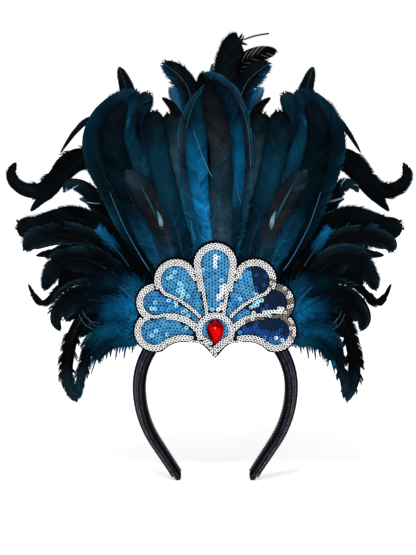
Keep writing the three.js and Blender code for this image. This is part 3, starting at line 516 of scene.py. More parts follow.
        ["fringe", 0, 51, 0.6, 0.5, 5, 0, -0.5, "blue ocean deep deep",
         [[0.402, 0.24], [0.477, 0.24], [0.547, 0.21], [0.597, 0.14]], {"down": True}],
    ],
}

# Loose quills, wisps and slips of vane of each plume, with no seat. lean: the slope backwards all along.
# depth: how far behind the tape they start. count and shift: how many, and the step from one to the next.
LOOSE_COLUMNS = ["name", "side", "lean", "depth", "path", "more"]
LOOSE = {
    "fan_front": [
        ["light_quill", -1, 9, 6,
         [[0.0175, 1.07], [0.06, 1.16], [0.09, 1.25], [0.108, 1.3]], {"quill": "haze"}],
        ["low_quill", 1, 7, 5, [[0.13, 0.93], [0.112, 0.99], [0.1, 1.08]], {"quill": "ocean"}],
        ["root_wisp", -1, 4, 1, [[0.1, 0.755], [0.115, 0.8], [0.12, 0.85]], {"quill": "azure"}],
        ["arch_line", -1, 10, 17,
         [[0.145, 1.3], [0.11, 1.42], [0.06, 1.5], [0.0, 1.55]], {"quill": "ocean"}],
        ["arch_line_right", 1, 10, 12,
         [[0.175, 1.12], [0.165, 1.28], [0.13, 1.41], [0.05, 1.5], [-0.03, 1.56]], {"quill": "ocean"}],
    ],
    "fan_middle": [
        ["inner_quill", 0, 10.5, 0.3,
         [[0.3275, 0.6], [0.3775, 0.679], [0.4575, 0.829], [0.524, 0.994]], {"quill": "azure"}],
        # A painted highlight: a short pale wedge where a feather's edge catches the light.
        ["pale_tip", 0, 8, 8.5,
         [[0.264, 0.8], [0.275, 0.86], [0.29, 0.9]],
          {"width": 0.24, "taper": 0.02, "look": "grey pale haze"}],
        ["pale_edge", 0, 10.5, 8.5,
         [[0.285, 0.85], [0.33, 0.95], [0.39, 1.06]],
          {"width": 0.12, "taper": 0.4, "look": "slate grey slate"}],
        ["blade_glint", 0, 9, 25,
         [[0.437, 1.3], [0.43, 1.34], [0.415, 1.38]],
          {"width": 0.14, "taper": 0.4, "look": "deep ocean deep"}],
    ],
    "side_plume": [
        ["curl_wisps", 0, 0, 3,
         [[0.58, 0.335], [0.62, 0.34], [0.65, 0.365], [0.665, 0.395]],
          {"quill": "grey", "count": 4, "shift": [-0.004, -0.016]}],
        # A painted highlight: a greyish-blue slip where the lower plume catches the light.
        ["low_slip", 0, 0, 3,
         [[0.585, 0.285], [0.634, 0.264], [0.68, 0.205]],
          {"width": 0.3, "taper": 0.1, "look": "teal grey slate"}],
        ["hem", 0, 0, 6,
         [[0.405, 0.25], [0.415, 0.21], [0.42, 0.175]],
          {"width": 0.13, "taper": 0.1, "look": "ocean blue teal", "count": 12, "shift": [0.016, -0.002]}],
        ["hem_long", 0, 0, 7,
         [[0.545, 0.25], [0.565, 0.19], [0.585, 0.13]],
          {"width": 0.12, "taper": 0.1, "look": "ocean ocean blue", "count": 5, "shift": [0.014, -0.012]}],
        ["spark_line", 0, 2, 1, [[0.43, 0.62], [0.48, 0.69], [0.54, 0.76]], {"quill": "teal"}],
        ["fluff_line", 0, 2, -1, [[0.39, 0.43], [0.43, 0.475], [0.48, 0.52]], {"quill": "azure"}],
    ],
}

CROWN_ARC = math.pi / 2 * CROWN_RADIUS
KNEE_ANGLE = math.radians(KNEE_TURN)
KNEE_ARC = KNEE_ANGLE * KNEE_RADIUS
HALF_BAND = CROWN_ARC + KNEE_ARC + LEG_STRAIGHT
HALF_TRIM = HALF_BAND - TRIM_END_SHORT
TIP_RADIUS = BAND_THICK_TIP / 2
CROWN_CENTRE = (KNEE_RADIUS * math.sin(KNEE_ANGLE) + (LEG_STRAIGHT - TIP_RADIUS) * math.cos(KNEE_ANGLE)
                + TIP_RADIUS - FOOT_FLAT)
MEDALLION_CENTRE = CROWN_CENTRE + MEDALLION_ABOVE_CROWN_CENTRE
BOARD_BACK = -BAND_DEPTH_CROWN / 2 - GAP - BRAID_THICK - GAP
BOARD_FRONT = BOARD_BACK - BOARD_THICK
PANEL_BACK = BOARD_FRONT - GAP
PANEL_FRONT = PANEL_BACK - PANEL_THICK
SILVER_FRONT = PANEL_BACK - SILVER_THICK
SEQUIN_FRONT = PANEL_FRONT - 2 * SEWN_RISE
MEDALLION_SEQUIN_FRONT = PANEL_FRONT - SEWN_RISE
SILVER_SEQUIN_FRONT = SILVER_FRONT - SEWN_RISE


def mix(a, b, t):
    return a + (b - a) * t


def ease(a, b, t):
    """A smooth step from 0 at a to 1 at b."""
    u = np.clip((np.asarray(t, float) - a) / (b - a), 0, 1)
    return u * u * (3 - 2 * u)


def linear(name):
    """A palette colour as light, from how the screen shows it."""
    c = np.array(PALETTE[name]) / 255
    return np.where(c < 0.04045, c / 12.92, ((c + 0.055) / 1.055) ** 2.4)


def unit(v):
    return v / np.maximum(np.linalg.norm(v, axis=-1, keepdims=True), 1e-9)


def circle(count, start=0):
    """Angles at even steps round a circle."""
    return (np.arange(count) + start) / count * 2 * math.pi


def measured(line):
    """The lengths of a line's steps, and how far along it each point lies."""
    steps = np.hypot(*np.diff(line, axis=0).T)
    return steps, np.concatenate([[0], np.cumsum(steps)])


def between(at, known, rows):
    """Rows of values at places between the known ones."""
    return np.stack([np.interp(at, known, column) for column in rows.T], -1)


# Mesh making: a part is a dict of points, faces, tint, grain and material number

def part(points, faces, tint, material=0, grain=None, smooth=False):
    points = np.asarray(points, float).reshape(-1, 3)
    tint = np.broadcast_to(np.asarray(tint, float), (len(points), 3))
    grain = np.zeros((len(points), 2)) if grain is None else np.asarray(grain, float).reshape(-1, 2)
    return {"points": points, "faces": faces, "tint": tint, "grain": grain, "material": material,
            "smooth": smooth}


def faces_in(points, quads):
    """Whether the quads of a closed body face inwards, from the sign of its volume."""
    p, q, r, s = (points[quads[:, i]] for i in range(4))
    return np.einsum("ij,ij->", p, np.cross(q, r)) + np.einsum("ij,ij->", p, np.cross(r, s)) < 0


def lofted(rings):
    """Faces of closed bodies through rings (bodies, stations, sides, 3): quads along them, and two caps."""
    rings = np.asarray(rings, float)
    bodies, stations, sides = rings.shape[:3]
    body = np.arange(bodies)[:, None, None] * stations * sides
    station = np.arange(stations - 1)[None, :, None] * sides
    side = np.arange(sides)[None, None, :]
    a = body + station + side
    b = body + station + (side + 1) % sides
    quads = np.stack([a, b, b + sides, a + sides], -1).reshape(-1, 4)
    first = (body + side[..., ::-1]).reshape(-1, sides)
    last = (body + (stations - 1) * sides + side).reshape(-1, sides)
    faces = [quads, first, last]
    return [f[:, ::-1] for f in faces] if faces_in(rings.reshape(-1, 3), quads) else faces


def scattered(template, faces, centres, axes):
    """Copies of template points at centres (n, 3), their x, y and z along the rows of axes (n, 3, 3)."""
    points = centres[:, None, :] + np.einsum("pk,nkj->npj", template, axes)
    start = np.arange(len(centres))[:, None, None] * len(template)
    return points, [(f[None] + start).reshape(-1, f.shape[1]) for f in faces]


def ball(sides, rings, cap=0.12):
    """A round bead of radius 1 as template points and faces. cap: the angle of its flat ends."""
    turn = np.linspace(cap, math.pi - cap, rings)
    around = circle(sides)
    ring = np.stack([np.outer(np.sin(turn), np.cos(around)), np.outer(np.sin(turn), np.sin(around)),
                     np.repeat(np.cos(turn)[:, None], sides, 1)], -1)
    return ring.reshape(-1, 3), lofted(ring[None])


def make_piece(name, parts, materials, nodes):
    """One mesh object of the parts, which rides on the part and stands for its CAD nodes."""
    mesh = bpy.data.meshes.new(name)
    starts = np.cumsum([0, *(len(p["points"]) for p in parts)])
    points, tint, grain = (np.concatenate([p[key] for p in parts]) for key in ("points", "tint", "grain"))
    loops, totals, numbers, smooth = [], [], [], []
    for p, start in zip(parts, starts):
        for faces in p["faces"]:
            loops.append((faces + start).ravel())
            totals.append(np.full(len(faces), faces.shape[1]))
            numbers.append(np.full(len(faces), p["material"]))
            smooth.append(np.full(len(faces), p["smooth"]))
    loops, totals = np.concatenate(loops), np.concatenate(totals)
    mesh.vertices.add(len(points))
    mesh.vertices.foreach_set("co", (points * MM + [AXIS_X, BAND_Y, 0]).ravel())
    mesh.loops.add(len(loops))
    mesh.loops.foreach_set("vertex_index", loops)
    mesh.polygons.add(len(totals))
    mesh.polygons.foreach_set("loop_start", np.concatenate([[0], np.cumsum(totals)[:-1]]))
    mesh.polygons.foreach_set("material_index", np.concatenate(numbers))
    mesh.polygons.foreach_set("use_smooth", np.concatenate(smooth))
    colours = mesh.color_attributes.new(name="tint", type="FLOAT_COLOR", domain="POINT")
    colours.data.foreach_set("color", np.concatenate([tint, np.ones((len(tint), 1))], 1).ravel())
    mesh.uv_layers.new(name="grain").data.foreach_set("uv", grain[loops].ravel())
    mesh.update(calc_edges=True)
    mesh.validate()
    for m in materials:
        mesh.materials.append(m)
    piece = bpy.data.objects.new(name, mesh)
    bpy.context.scene.collection.objects.link(piece)
    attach(piece, "root")
    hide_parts(*nodes)
    return piece


# Materials

class Look:
    """A procedural material around one Principled shader."""

    def __init__(self, name, **sockets):
        self.material = bpy.data.materials.new(name)
        self.material.use_nodes = True
        self.nodes = self.material.node_tree.nodes
        self.links = self.material.node_tree.links
        self.shader = self.nodes["Principled BSDF"]
        for socket, value in sockets.items():
            self.shader.inputs[socket.replace("_", " ")].default_value = value

    def node(self, kind, **values):
        made = self.nodes.new(kind)
        for key, value in values.items():
            if hasattr(made, key):
                setattr(made, key, value)
            else:
                made.inputs[key.replace("_", " ")].default_value = value
        return made

    def grain(self, across, along):
        """The grain map's coordinates, stretched."""
        uv = self.node("ShaderNodeUVMap", uv_map="grain")
        spread = self.node("ShaderNodeMapping", Scale=(across, along, 1))
        self.links.new(uv.outputs["UV"], spread.inputs["Vector"])
        return spread.outputs["Vector"]

    def place(self):
        return self.node("ShaderNodeTexCoord").outputs["Object"]

    def noise(self, vector, scale, detail, low, high):
        """Noise spread between low and high."""
        noise = self.node("ShaderNodeTexNoise", Scale=scale, Detail=detail)
        self.links.new(vector, noise.inputs["Vector"])
        spread = self.node("ShaderNodeMapRange", From_Min=0.3, From_Max=0.7, To_Min=low, To_Max=high)
        self.links.new(noise.outputs["Fac"], spread.inputs["Value"])
        return spread.outputs["Result"]

    def tint(self, strength):
        """The tint attribute times the given strength as the base colour."""
        colour = self.node("ShaderNodeAttribute", attribute_name="tint")
        times = self.node("ShaderNodeVectorMath", operation="SCALE")
        self.links.new(colour.outputs["Color"], times.inputs[0])
        self.links.new(strength, times.inputs["Scale"])
        self.links.new(times.outputs["Vector"], self.shader.inputs["Base Color"])

    def bump(self, height, strength, distance):
        bump = self.node("ShaderNodeBump", Strength=strength, Distance=distance)
        self.links.new(height, bump.inputs["Height"])
        self.links.new(bump.outputs["Normal"], self.shader.inputs["Normal"])

    def rough(self, value):
        self.links.new(value, self.shader.inputs["Roughness"])


def uneven(name, tint, rough, **sockets):
    """A material with noise in its tint and its roughness, each as scale, detail, low and high."""
    look = Look(name, **sockets)
    look.tint(look.noise(look.place(), *tint))
    look.rough(look.noise(look.place(), *rough))
    return look


def feather_look():
    """Fine streaks along the barbs, and softer patches over the whole feather."""
    look = Look("feather_barbs", Specular_IOR_Level=0.01)
    hair = look.noise(look.grain(2.5, 2.2), 3, 4, 0.6, 1.4)
    patches = look.noise(look.place(), 45, 4, 0.62, 1.38)
    both = look.node("ShaderNodeMath", operation="MULTIPLY")
    look.links.new(hair, both.inputs[0])
    look.links.new(patches, both.inputs[1])
    look.tint(both.outputs["Value"])
    look.bump(hair, 0.35, 0.0002)
    look.rough(look.noise(look.place(), 60, 2, 0.42, 0.6))
    return look.material


def shaft_look():
    return uneven("feather_shaft", (400, 3, 0.8, 1.15), (900, 2, 0.3, 0.5), Specular_IOR_Level=0.4).material


def sequin_look():
    """Pearly plastic, a little uneven in gloss."""
    return uneven("sequin_plastic", (700, 2, 0.88, 1.1), (300, 2, 0.18, 0.34), Metallic=0.3,
                  Specular_IOR_Level=0.12).material


def silver_look():
    return uneven("silver_sequins", (1200, 2, 0.86, 1.08), (500, 2, 0.22, 0.4), Metallic=0.1,
                  Specular_IOR_Level=1).material


def cloth_look(name, fineness, roughness, weave):
    """Woven cloth: slanted ribs along the grain map."""
    look = uneven(name, (500, 4, 0.75, 1.25), (250, 3, roughness - 0.06, roughness + 0.08),
                  Specular_IOR_Level=0.08)
    ribs = look.node("ShaderNodeTexWave", bands_direction="DIAGONAL", Scale=fineness, Distortion=0.6)
    look.links.new(look.grain(1, 1), ribs.inputs["Vector"])
    look.bump(ribs.outputs["Fac"], weave, 0.0003)
    return look.material


def felt_look():
    look = Look("felt", Specular_IOR_Level=0.05, Roughness=0.95)
    fuzz = look.noise(look.place(), 1500, 5, 0.6, 1.4)
    look.tint(fuzz)
    look.bump(fuzz, 0.6, 0.0004)
    return look.material


def stone_look():
    look = Look("red_stone", Specular_IOR_Level=0.02, Roughness=0.3)
    look.tint(look.noise(look.place(), 350, 2, 0.8, 1.15))
    return look.material


# Headband

def band_at(distance):
    """Places in X and Z at distances from the crown's top, and the band's outward direction there."""
    d, side = np.abs(distance), np.where(distance < 0, -1, 1)
    a = np.minimum(d, CROWN_ARC) / CROWN_RADIUS
    b = np.clip((d - CROWN_ARC) / KNEE_RADIUS, 0, KNEE_ANGLE)
    rest = np.maximum(d - CROWN_ARC - KNEE_ARC, 0)
    crown = d <= CROWN_ARC
    leg_x = CROWN_RADIUS - KNEE_RADIUS * (1 - np.cos(b)) - rest * np.sin(b)
    leg_z = -KNEE_RADIUS * np.sin(b) - rest * np.cos(b)
    x, z = np.where(crown, CROWN_RADIUS * np.sin(a), leg_x), np.where(crown, CROWN_RADIUS * np.cos(a), leg_z)
    nx, nz = np.where(crown, np.sin(a), np.cos(b)), np.where(crown, np.cos(a), -np.sin(b))
    return np.stack([side * x, CROWN_CENTRE + z], -1), np.stack([side * nx, nz], -1)


def slimming(distance):
    return ease(CROWN_ARC * SLIMMING_FROM, HALF_BAND, np.abs(distance))


def band_thick(distance):
    return mix(BAND_THICK_CROWN, BAND_THICK_TIP, slimming(distance))


def band_depth(distance):
    return mix(BAND_DEPTH_CROWN, BAND_DEPTH_TIP, slimming(distance))


def on_band(distance, out, deep):
    """Points beside the band: out from its middle line and deep along Y."""
    at, outward = band_at(distance)
    xz = at + outward * np.asarray(out)[..., None]
    return np.stack([xz[..., 0], np.broadcast_to(deep, xz.shape[:-1]), xz[..., 1]], -1)


def band_half_thick(distance, share):
    return band_thick(distance) / 2 * (1 - share ** (2 / BAND_SQUARENESS)) ** (BAND_SQUARENESS / 2)


def band_satin():
    """The padded band: a soft oval sweep with shallow puckers, rounded tips and flat feet."""
    around = circle(BAND_SIDES, 0.5)
    power = lambda v: np.sign(v) * np.abs(v) ** BAND_SQUARENESS
    middle = np.linspace(-HALF_BAND + TIP_RADIUS, HALF_BAND - TIP_RADIUS, BAND_STEPS)
    t = np.sin((np.arange(1, TIP_STEPS + 1) / (TIP_STEPS + 0.15)) * math.pi / 2)
    tip = HALF_BAND - TIP_RADIUS * (1 - t)
    d = np.concatenate([-tip[::-1], middle, tip])[:, None]
    rounding = np.concatenate([t[::-1], np.zeros(BAND_STEPS), t])[:, None]
    squeeze, narrow = np.sqrt(1 - rounding ** 2), 1 - TIP_NARROWING * rounding ** 2
    wander = PUCKER_WANDER * np.sin(d / PUCKER_WANDER_LENGTH) + PUCKER_SLANT * around
    pucker = PUCKER_DEPTH * np.sin(2 * math.pi * d / PUCKER_PITCH + wander)
    pucker = pucker * np.abs(np.sin(around)) ** 2 * (rounding == 0)
    out = squeeze * band_thick(d) * power(np.cos(around)) / 2 + pucker * np.sign(np.cos(around))
    deep = narrow * band_depth(d) * power(np.sin(around)) / 2
    rings = on_band(np.repeat(d, BAND_SIDES, 1), out, deep)
    rings[..., 2] = np.maximum(rings[..., 2], 0)
    grain = np.stack(np.broadcast_arrays(d, SATIN_GRAIN * around), -1)
    look = mix(linear("ink"), linear("navy"), ease(*SATIN_EDGE, np.cos(around))[:, None]) * SATIN_SHADE
    tint = np.broadcast_to(look, (len(d), BAND_SIDES, 3)).reshape(-1, 3)
    return part(rings, lofted(rings[None]), tint, grain=grain, smooth=True)


def trim_stations(pitch=None):
    """Places along the trims, BAND_STEPS of them or about a pitch apart."""
    return np.linspace(-HALF_TRIM, HALF_TRIM, int(2 * HALF_TRIM / pitch) if pitch else BAND_STEPS)


def knots(distance, out, deep, size, on, degrees, tint, rng):
    """A row of small slanted stitches beside the band's front or crest."""
    at = on_band(distance, out, deep)
    ahead = unit(np.gradient(at, axis=0))
    _, outward = band_at(distance)
    up = np.stack([outward[:, 0], np.zeros(len(at)), outward[:, 1]], -1)
    deepward = np.broadcast_to([0.0, 1.0, 0.0], at.shape)
    lie, across = (deepward, up) if on == "front" else (up, deepward)
    a = math.radians(degrees)
    long = ahead * math.cos(a) + across * math.sin(a)
    wide = across * math.cos(a) - ahead * math.sin(a)
    template, faces = ball(6, 4)
    axes = np.stack([long * size[0], wide * size[1], lie * size[2]], 1)
    points, all_faces = scattered(template, faces, at, axes)
    shade = linear(tint) * rng.uniform(*KNOT_SHADES, (len(at), 1))
    return part(points, all_faces, np.repeat(shade, len(template), 0), smooth=True)


def band_ribbon(rng):
    """The lining: a woven ribbon on the inner face with a looped edge on both sides."""
    d = trim_stations()[:, None]
    shares = np.linspace(-RIBBON_SHARE, RIBBON_SHARE, RIBBON_CUTS)
    inner = -band_half_thick(d, np.abs(shares))
    out = np.concatenate([inner, (inner - GAP - RIBBON_THICK)[:, ::-1]], 1)
    deep = np.concatenate([shares, shares[::-1]]) * band_depth(d) / 2
    rings = on_band(np.repeat(d, out.shape[1], 1), out, deep)
    grain = np.stack(np.broadcast_arrays(d, deep), -1)
    parts = [part(rings, lofted(rings[None]), linear("ink") * RIBBON_SHADE, grain=grain, smooth=True)]
    loops = trim_stations(PICOT_PITCH)
    share = RIBBON_SHARE * PICOT_OUT
    for way in (-1, 1):
        out = -band_half_thick(loops, share) - GAP - RIBBON_THICK * PICOT_BACK
        deep = way * share * band_depth(loops) / 2
        parts.append(knots(loops, out, deep, PICOT_SIZE, "crest", 0, "ink", rng))
    return parts


def gimp(on, rng):
    """A gimp braid on the band's front or crest: a flat base, two rows of slanted stitches and a cord."""
    rise = BRAID_THICK / 2

    def wide_at(distance):
        return BRAID_WIDTH * mix(1, BRAID_SLIMMING, slimming(distance))

    def beside(distance, across, thick):
        if on == "front":
            return across, -band_depth(distance) / 2 - GAP - rise - thick
        return band_thick(distance) / 2 + GAP + rise + thick, across

    d, sides = trim_stations()[:, None], 10
    around = circle(sides)
    thick = np.where(np.sin(around) < 0, rise + 2 * GAP, rise) * np.sin(around)
    rings = on_band(np.repeat(d, sides, 1), *beside(d, wide_at(d) / 2 * np.cos(around), thick))
    parts = [part(rings, lofted(rings[None]), linear("ink"), smooth=True)]
    stitch = trim_stations(KNOT_PITCH)
    for share, degrees, tint in KNOT_ROWS:
        out, deep = beside(stitch, share * wide_at(stitch), rise * KNOT_RISE)
        parts.append(knots(stitch, out, deep, KNOT_SIZE, on, degrees, tint, rng))
    return parts


# Plaque

def petal_axis(petal, t):
    """Points of a petal's middle line at shares t, straight on past its ends, and its heading there."""
    foot, lobe = (np.array(petal[key]) * PLAQUE_REACH for key in ("foot", "lobe"))
    chord, heading = math.dist(foot, lobe), math.atan2(*(lobe - foot))
    bow, inside = petal["bow"] * PLAQUE_REACH, np.clip(t, 0, 1)
    rise = bow * 4 * inside * (1 - inside)
    turn = heading + np.arctan(4 * bow * (2 * inside - 1) / chord)
    past = (t - inside) * chord
    x = mix(foot[0], lobe[0], inside) - rise * math.cos(heading) + past * np.sin(turn)
    z = mix(foot[1], lobe[1], inside) + rise * math.sin(heading) + past * np.cos(turn)
    return x, z, turn, chord


def petal_outline(petal, side, grow):
    """A petal's outline about the medallion's centre, grown by a width."""
    radius, half = petal["radius"] * PLAQUE_REACH + grow, petal["half"] * PLAQUE_REACH + grow
    t = np.arange(PETAL_CUTS) / PETAL_CUTS
    x, z, turn, _ = petal_axis(petal, t)
    flanks = []
    for way in (-1, 1):
        wide = way * mix(half, radius, t)
        foot = np.where(t == 0, grow, 0)
        flanks.append(np.stack([x + wide * np.cos(turn) - foot * np.sin(turn),
                                z - wide * np.sin(turn) - foot * np.cos(turn)], -1))
    end_x, end_z, end_turn, _ = petal_axis(petal, np.array(1.0))
    a = end_turn + np.linspace(-math.pi / 2, math.pi / 2, LOBE_CUTS)
    lobe = np.stack([end_x + radius * np.sin(a), end_z + radius * np.cos(a)], -1)
    return np.concatenate([flanks[0], lobe, flanks[1][::-1]]) * [side, 1]


def medallion_outline(grow, point_rim=MEDALLION_POINT_RIM):
    """The medallion's outline, grown by a width, and by point_rim of that at its point."""
    r, low = MEDALLION_RADIUS + grow, -MEDALLION_POINT - grow * point_rim
    shoulder = math.radians(MEDALLION_SHOULDER)
    a = np.linspace(-shoulder, math.pi + shoulder, MEDALLION_CUTS)
    corner = np.array([r * math.cos(shoulder), -r * math.sin(shoulder)])
    waist = np.array([r, low]) * MEDALLION_WAIST
    point = np.array([0, low])
    t = np.linspace(0, 1, WAIST_CUTS)[1:, None]
    bend = lambda a, b, c: (1 - t) ** 2 * a + 2 * t * (1 - t) * b + t ** 2 * c
    left = bend(corner * [-1, 1], waist * [-1, 1], point)
    right = bend(point, waist, corner)[:-1]
    return np.concatenate([np.stack([r * np.cos(a), r * np.sin(a)], -1), left, right])


def notch_outline(side, lower):
    """The patch that rounds off the corner between a lower petal and the point, lowered by a width."""
    return (np.array(NOTCH) * PLAQUE_REACH - [0, lower]) * [side, 1]


def distance_from(outline, points):
    """Signed distances of points from a closed outline, negative inside."""
    a, b = outline, np.roll(outline, -1, 0)
    step = b - a
    along = np.einsum("pek,ek->pe", points[:, None] - a, step) / np.maximum((step ** 2).sum(1), 1e-9)
    near = a + np.clip(along, 0, 1)[..., None] * step
    far = np.linalg.norm(points[:, None] - near, axis=-1).min(1)
    over = (a[:, 1] > points[:, 1, None]) != (b[:, 1] > points[:, 1, None])
    rise = np.where(np.abs(step[:, 1]) < 1e-9, 1e-9, step[:, 1])
    cross = a[:, 0] + (points[:, 1, None] - a[:, 1]) / rise * step[:, 0]
    inside = (over & (points[:, 0, None] < cross)).sum(1) % 2 == 1
    return np.where(inside, -far, far)


def all_petals():
    """Every petal as name, its row in PETALS and side, the top one once."""
    for index, petal in enumerate(PETALS):
        if petal["lobe"][0] == 0:
            yield petal["name"], index, 1
        else:
            yield petal["name"] + "_left", index, -1
            yield petal["name"] + "_right", index, 1


MEDALLION = medallion_outline(0)
OUTLINES = {(index, side): petal_outline(PETALS[index], side, 0) for _, index, side in all_petals()}
OUTLINES[(0, -1)] = OUTLINES[(0, 1)]


def window_distance(index, side, points):
    """How far points lie outside a petal's window in the braid, negative inside it."""
    limits = [distance_from(OUTLINES[index, side], points), MEDALLION_RIM - distance_from(MEDALLION, points)]
    if index > 0:
        limits.append(SILVER_BETWEEN - distance_from(OUTLINES[index - 1, side], points))
    return np.max(limits, 0)


def border_distance(points):
    """How far points lie outside the braid's outer edge."""
    petals = [distance_from(OUTLINES[i, s], points) - SILVER_WIDTH for _, i, s in all_petals()]
    notches = [distance_from(notch_outline(s, 0), points) for s in (-1, 1)]
    point = distance_from(medallion_outline(SILVER_WIDTH, SILVER_POINT_RIM), points)
    return np.min([*petals, *notches, point], 0)


def on_braid(points, inside, edge_inside):
    """Whether points lie on the braid, that far inside its windows' edges and its outer edge."""
    windows = np.min([window_distance(i, s, points) for _, i, s in all_petals()], 0)
    centre = distance_from(MEDALLION, points)
    return (windows > inside) & (centre > inside) & (border_distance(points) < -edge_inside)


def flat_body(outlines, keep, back, front, tint):
    """A flat body between two depths, where keep says, cut along every outline."""
    corners, loops = [], []
    for outline in outlines:
        loops.append(list(range(len(corners), len(corners) + len(outline))))
        corners.extend(Vector(p) for p in outline)
    made = delaunay_2d_cdt(corners, [], loops, 1, 1e-4)
    flat, triangles = np.array([list(v) for v in made[0]]), np.array(made[2])
    triangles = triangles[keep(flat[triangles].mean(1))]
    edges = np.concatenate([triangles[:, [0, 1]], triangles[:, [1, 2]], triangles[:, [2, 0]]])
    known = {tuple(e) for e in edges.tolist()}
    rim = np.array([e for e in edges.tolist() if (e[1], e[0]) not in known])
    n = len(flat)
    x, z = np.tile(flat, (2, 1)).T
    points = np.stack([x, np.repeat([front, back], n), z + MEDALLION_CENTRE], -1)
    walls = np.stack([rim[:, 1], rim[:, 0], rim[:, 0] + n, rim[:, 1] + n], -1)
    return part(points, [triangles, triangles[:, ::-1] + n, walls], tint, grain=points[:, [0, 2]])


def shade_at(points, own, strokes, rng):
    """Each point's colour: its own, a little uneven, or that of the last stroke that covers it."""
    colour = linear(own) * rng.uniform(*OWN_SHADES, (len(points), 1))
    for tint, start, end, reach, share in strokes:
        a, b = np.array([start, end]) * PLAQUE_REACH
        t = np.clip((points - a) @ (b - a) / ((b - a) @ (b - a)), 0, 1)
        off = np.linalg.norm(points - (a + t[:, None] * (b - a)), axis=1)
        hit = off < reach * PLAQUE_REACH * rng.uniform(*STROKE_EDGE, len(points))
        hit &= rng.random(len(points)) < share
        colour[hit] = linear(tint) * rng.uniform(*STROKE_SHADES, (int(hit.sum()), 1))
    return colour


def sequin_template(kind):
    """A flat ring, a little cupped, as template points (across, front, along) and faces."""
    radius, hole, thick, sides, cup = (kind[key] for key in ("radius", "hole", "thick", "sides", "cup"))
    front, back = (mix(hole, radius, share) for share in CUP_PLACES)
    profile = [(hole, 0), (hole, thick), (front, thick - cup), (radius, thick), (back, -cup)]
    points = np.array([[r * math.cos(a), -h, r * math.sin(a)] for a in circle(sides) for r, h in profile])
    n = len(profile)
    i, k = np.meshgrid(np.arange(sides), np.arange(n), indexing="ij")
    j, m = (i + 1) % sides, (k + 1) % n
    quads = np.stack([i * n + k, i * n + m, j * n + m, j * n + k], -1).reshape(-1, 4)
    return points, [quads[:, ::-1] if faces_in(points, quads) else quads]


def stitch_template(radius):
    """The thread that holds a sequin, seen in its hole."""
    points, faces = ball(6, 3)
    return points[:, [0, 2, 1]] * [radius, -STITCH_RISE, radius], [f[:, ::-1] for f in faces]


def sequins_at(places, turn, front, template, tilt, colour, rng, material, loose=1):
    """Sequins at places (x, z), each lifted at the edge that its heading points to."""
    points, faces = template
    n = len(places)
    lift = np.tan(np.radians(tilt + rng.normal(0, LIFT_SPREAD * loose, n)))
    roll = np.tan(np.radians(rng.normal(0, ROLL_SPREAD * loose, n)))
    across = np.stack([np.cos(turn), -roll, -np.sin(turn)], -1)
    along = np.stack([np.sin(turn), -lift, np.cos(turn)], -1)
    axes = np.stack([across, np.broadcast_to([0.0, 1.0, 0.0], (n, 3)), along], 1)
    centres = np.stack([places[:, 0], np.full(n, front), places[:, 1] + MEDALLION_CENTRE], -1)
    made, all_faces = scattered(points, faces, centres, axes)
    # Painted light: each ring and stitch is darker in the middle and lighter towards its rim.
    spread = np.linalg.norm(points[:, [0, 2]], axis=1)
    rim = ease(spread.min(), spread.max(), spread)
    tint = colour[:, None] * mix(*RIM_PAINTED_LIGHT, rim)[:, None]
    return part(made, all_faces, np.clip(tint, 0, BRIGHTEST).reshape(-1, 3), material=material)


def sewn(kind, places, turn, front, tilt, strokes, rng):
    """Sequins of a kind, with the stitches in their holes."""
    # Strokes, where given, paint reflections and glints over the sequins' own colour.
    colour = shade_at(places, kind["colour"], strokes, rng) * kind["gain"]
    discs = sequins_at(places, turn, front, sequin_template(kind), tilt, colour, rng, 1, kind["loose"])
    thread = linear(kind["thread"]) * rng.uniform(*kind["thread_shades"], (len(places), 1))
    share, before = kind["stitch"]
    template = stitch_template(kind["hole"] * share)
    return [discs, sequins_at(places, turn, front - before, template, tilt, thread, rng, 0)]


def staggered(rows, steps):
    """The rows of a grid and how far along each place lies, every other row half a step on."""
    row, step = (grid.ravel() for grid in np.meshgrid(rows, steps))
    return row, (step + 0.5 * (row % 2)) * SEQUIN_PITCH


def petal_sequins(index, side, rng):
    """A petal's fabric panel, with rows of sequins that run along its middle line."""
    petal = PETALS[index]
    outlines = [petal_outline(petal, side, 0), medallion_outline(MEDALLION_RIM)]
    if index > 0:
        outlines.append(petal_outline(PETALS[index - 1], side, SILVER_BETWEEN))
    inside = lambda p: window_distance(index, side, p) < 0
    panel = flat_body(outlines, inside, PANEL_BACK, PANEL_FRONT, linear("navy"))
    _, _, _, chord = petal_axis(petal, np.array(0.0))
    last = int((chord + petal["radius"] * PLAQUE_REACH) / SEQUIN_PITCH) + 2
    row, far = staggered(np.arange(-SEQUIN_ROWS_EACH_SIDE, SEQUIN_ROWS_EACH_SIDE + 1), np.arange(-2, last))
    x, z, turn, _ = petal_axis(petal, far / chord)
    off = row * SEQUIN_ROW + rng.normal(0, SEQUIN_WANDER, len(row))
    places = np.stack([side * (x + off * np.cos(turn)), z - off * np.sin(turn)], -1)
    kept = window_distance(index, side, places) < -SEQUIN_INSIDE * SEQUIN["radius"]
    return [panel, *sewn(SEQUIN, places[kept], turn[kept] * side, SEQUIN_FRONT, SEQUIN_TILT, SEQUIN_TONE_AND_REFLECTIONS,
                         rng)]


def medallion_sequins(rng):
    """The medallion's panel, with upright rows of flat sequins."""
    panel = flat_body([MEDALLION], lambda p: distance_from(MEDALLION, p) < 0, PANEL_BACK, PANEL_FRONT,
                      linear("navy") * MEDALLION_SHADE)
    reach = int(MEDALLION_RADIUS / SEQUIN_ROW) + 1
    row, far = staggered(np.arange(-reach, reach + 1), np.arange(-reach, reach + 1))
    places = np.stack([row * SEQUIN_ROW, far], -1)
    places = places[distance_from(MEDALLION, places) < -SEQUIN_INSIDE * SEQUIN["radius"]]
    return [panel, *sewn(SEQUIN, places, np.zeros(len(places)), MEDALLION_SEQUIN_FRONT, 0, [], rng)]


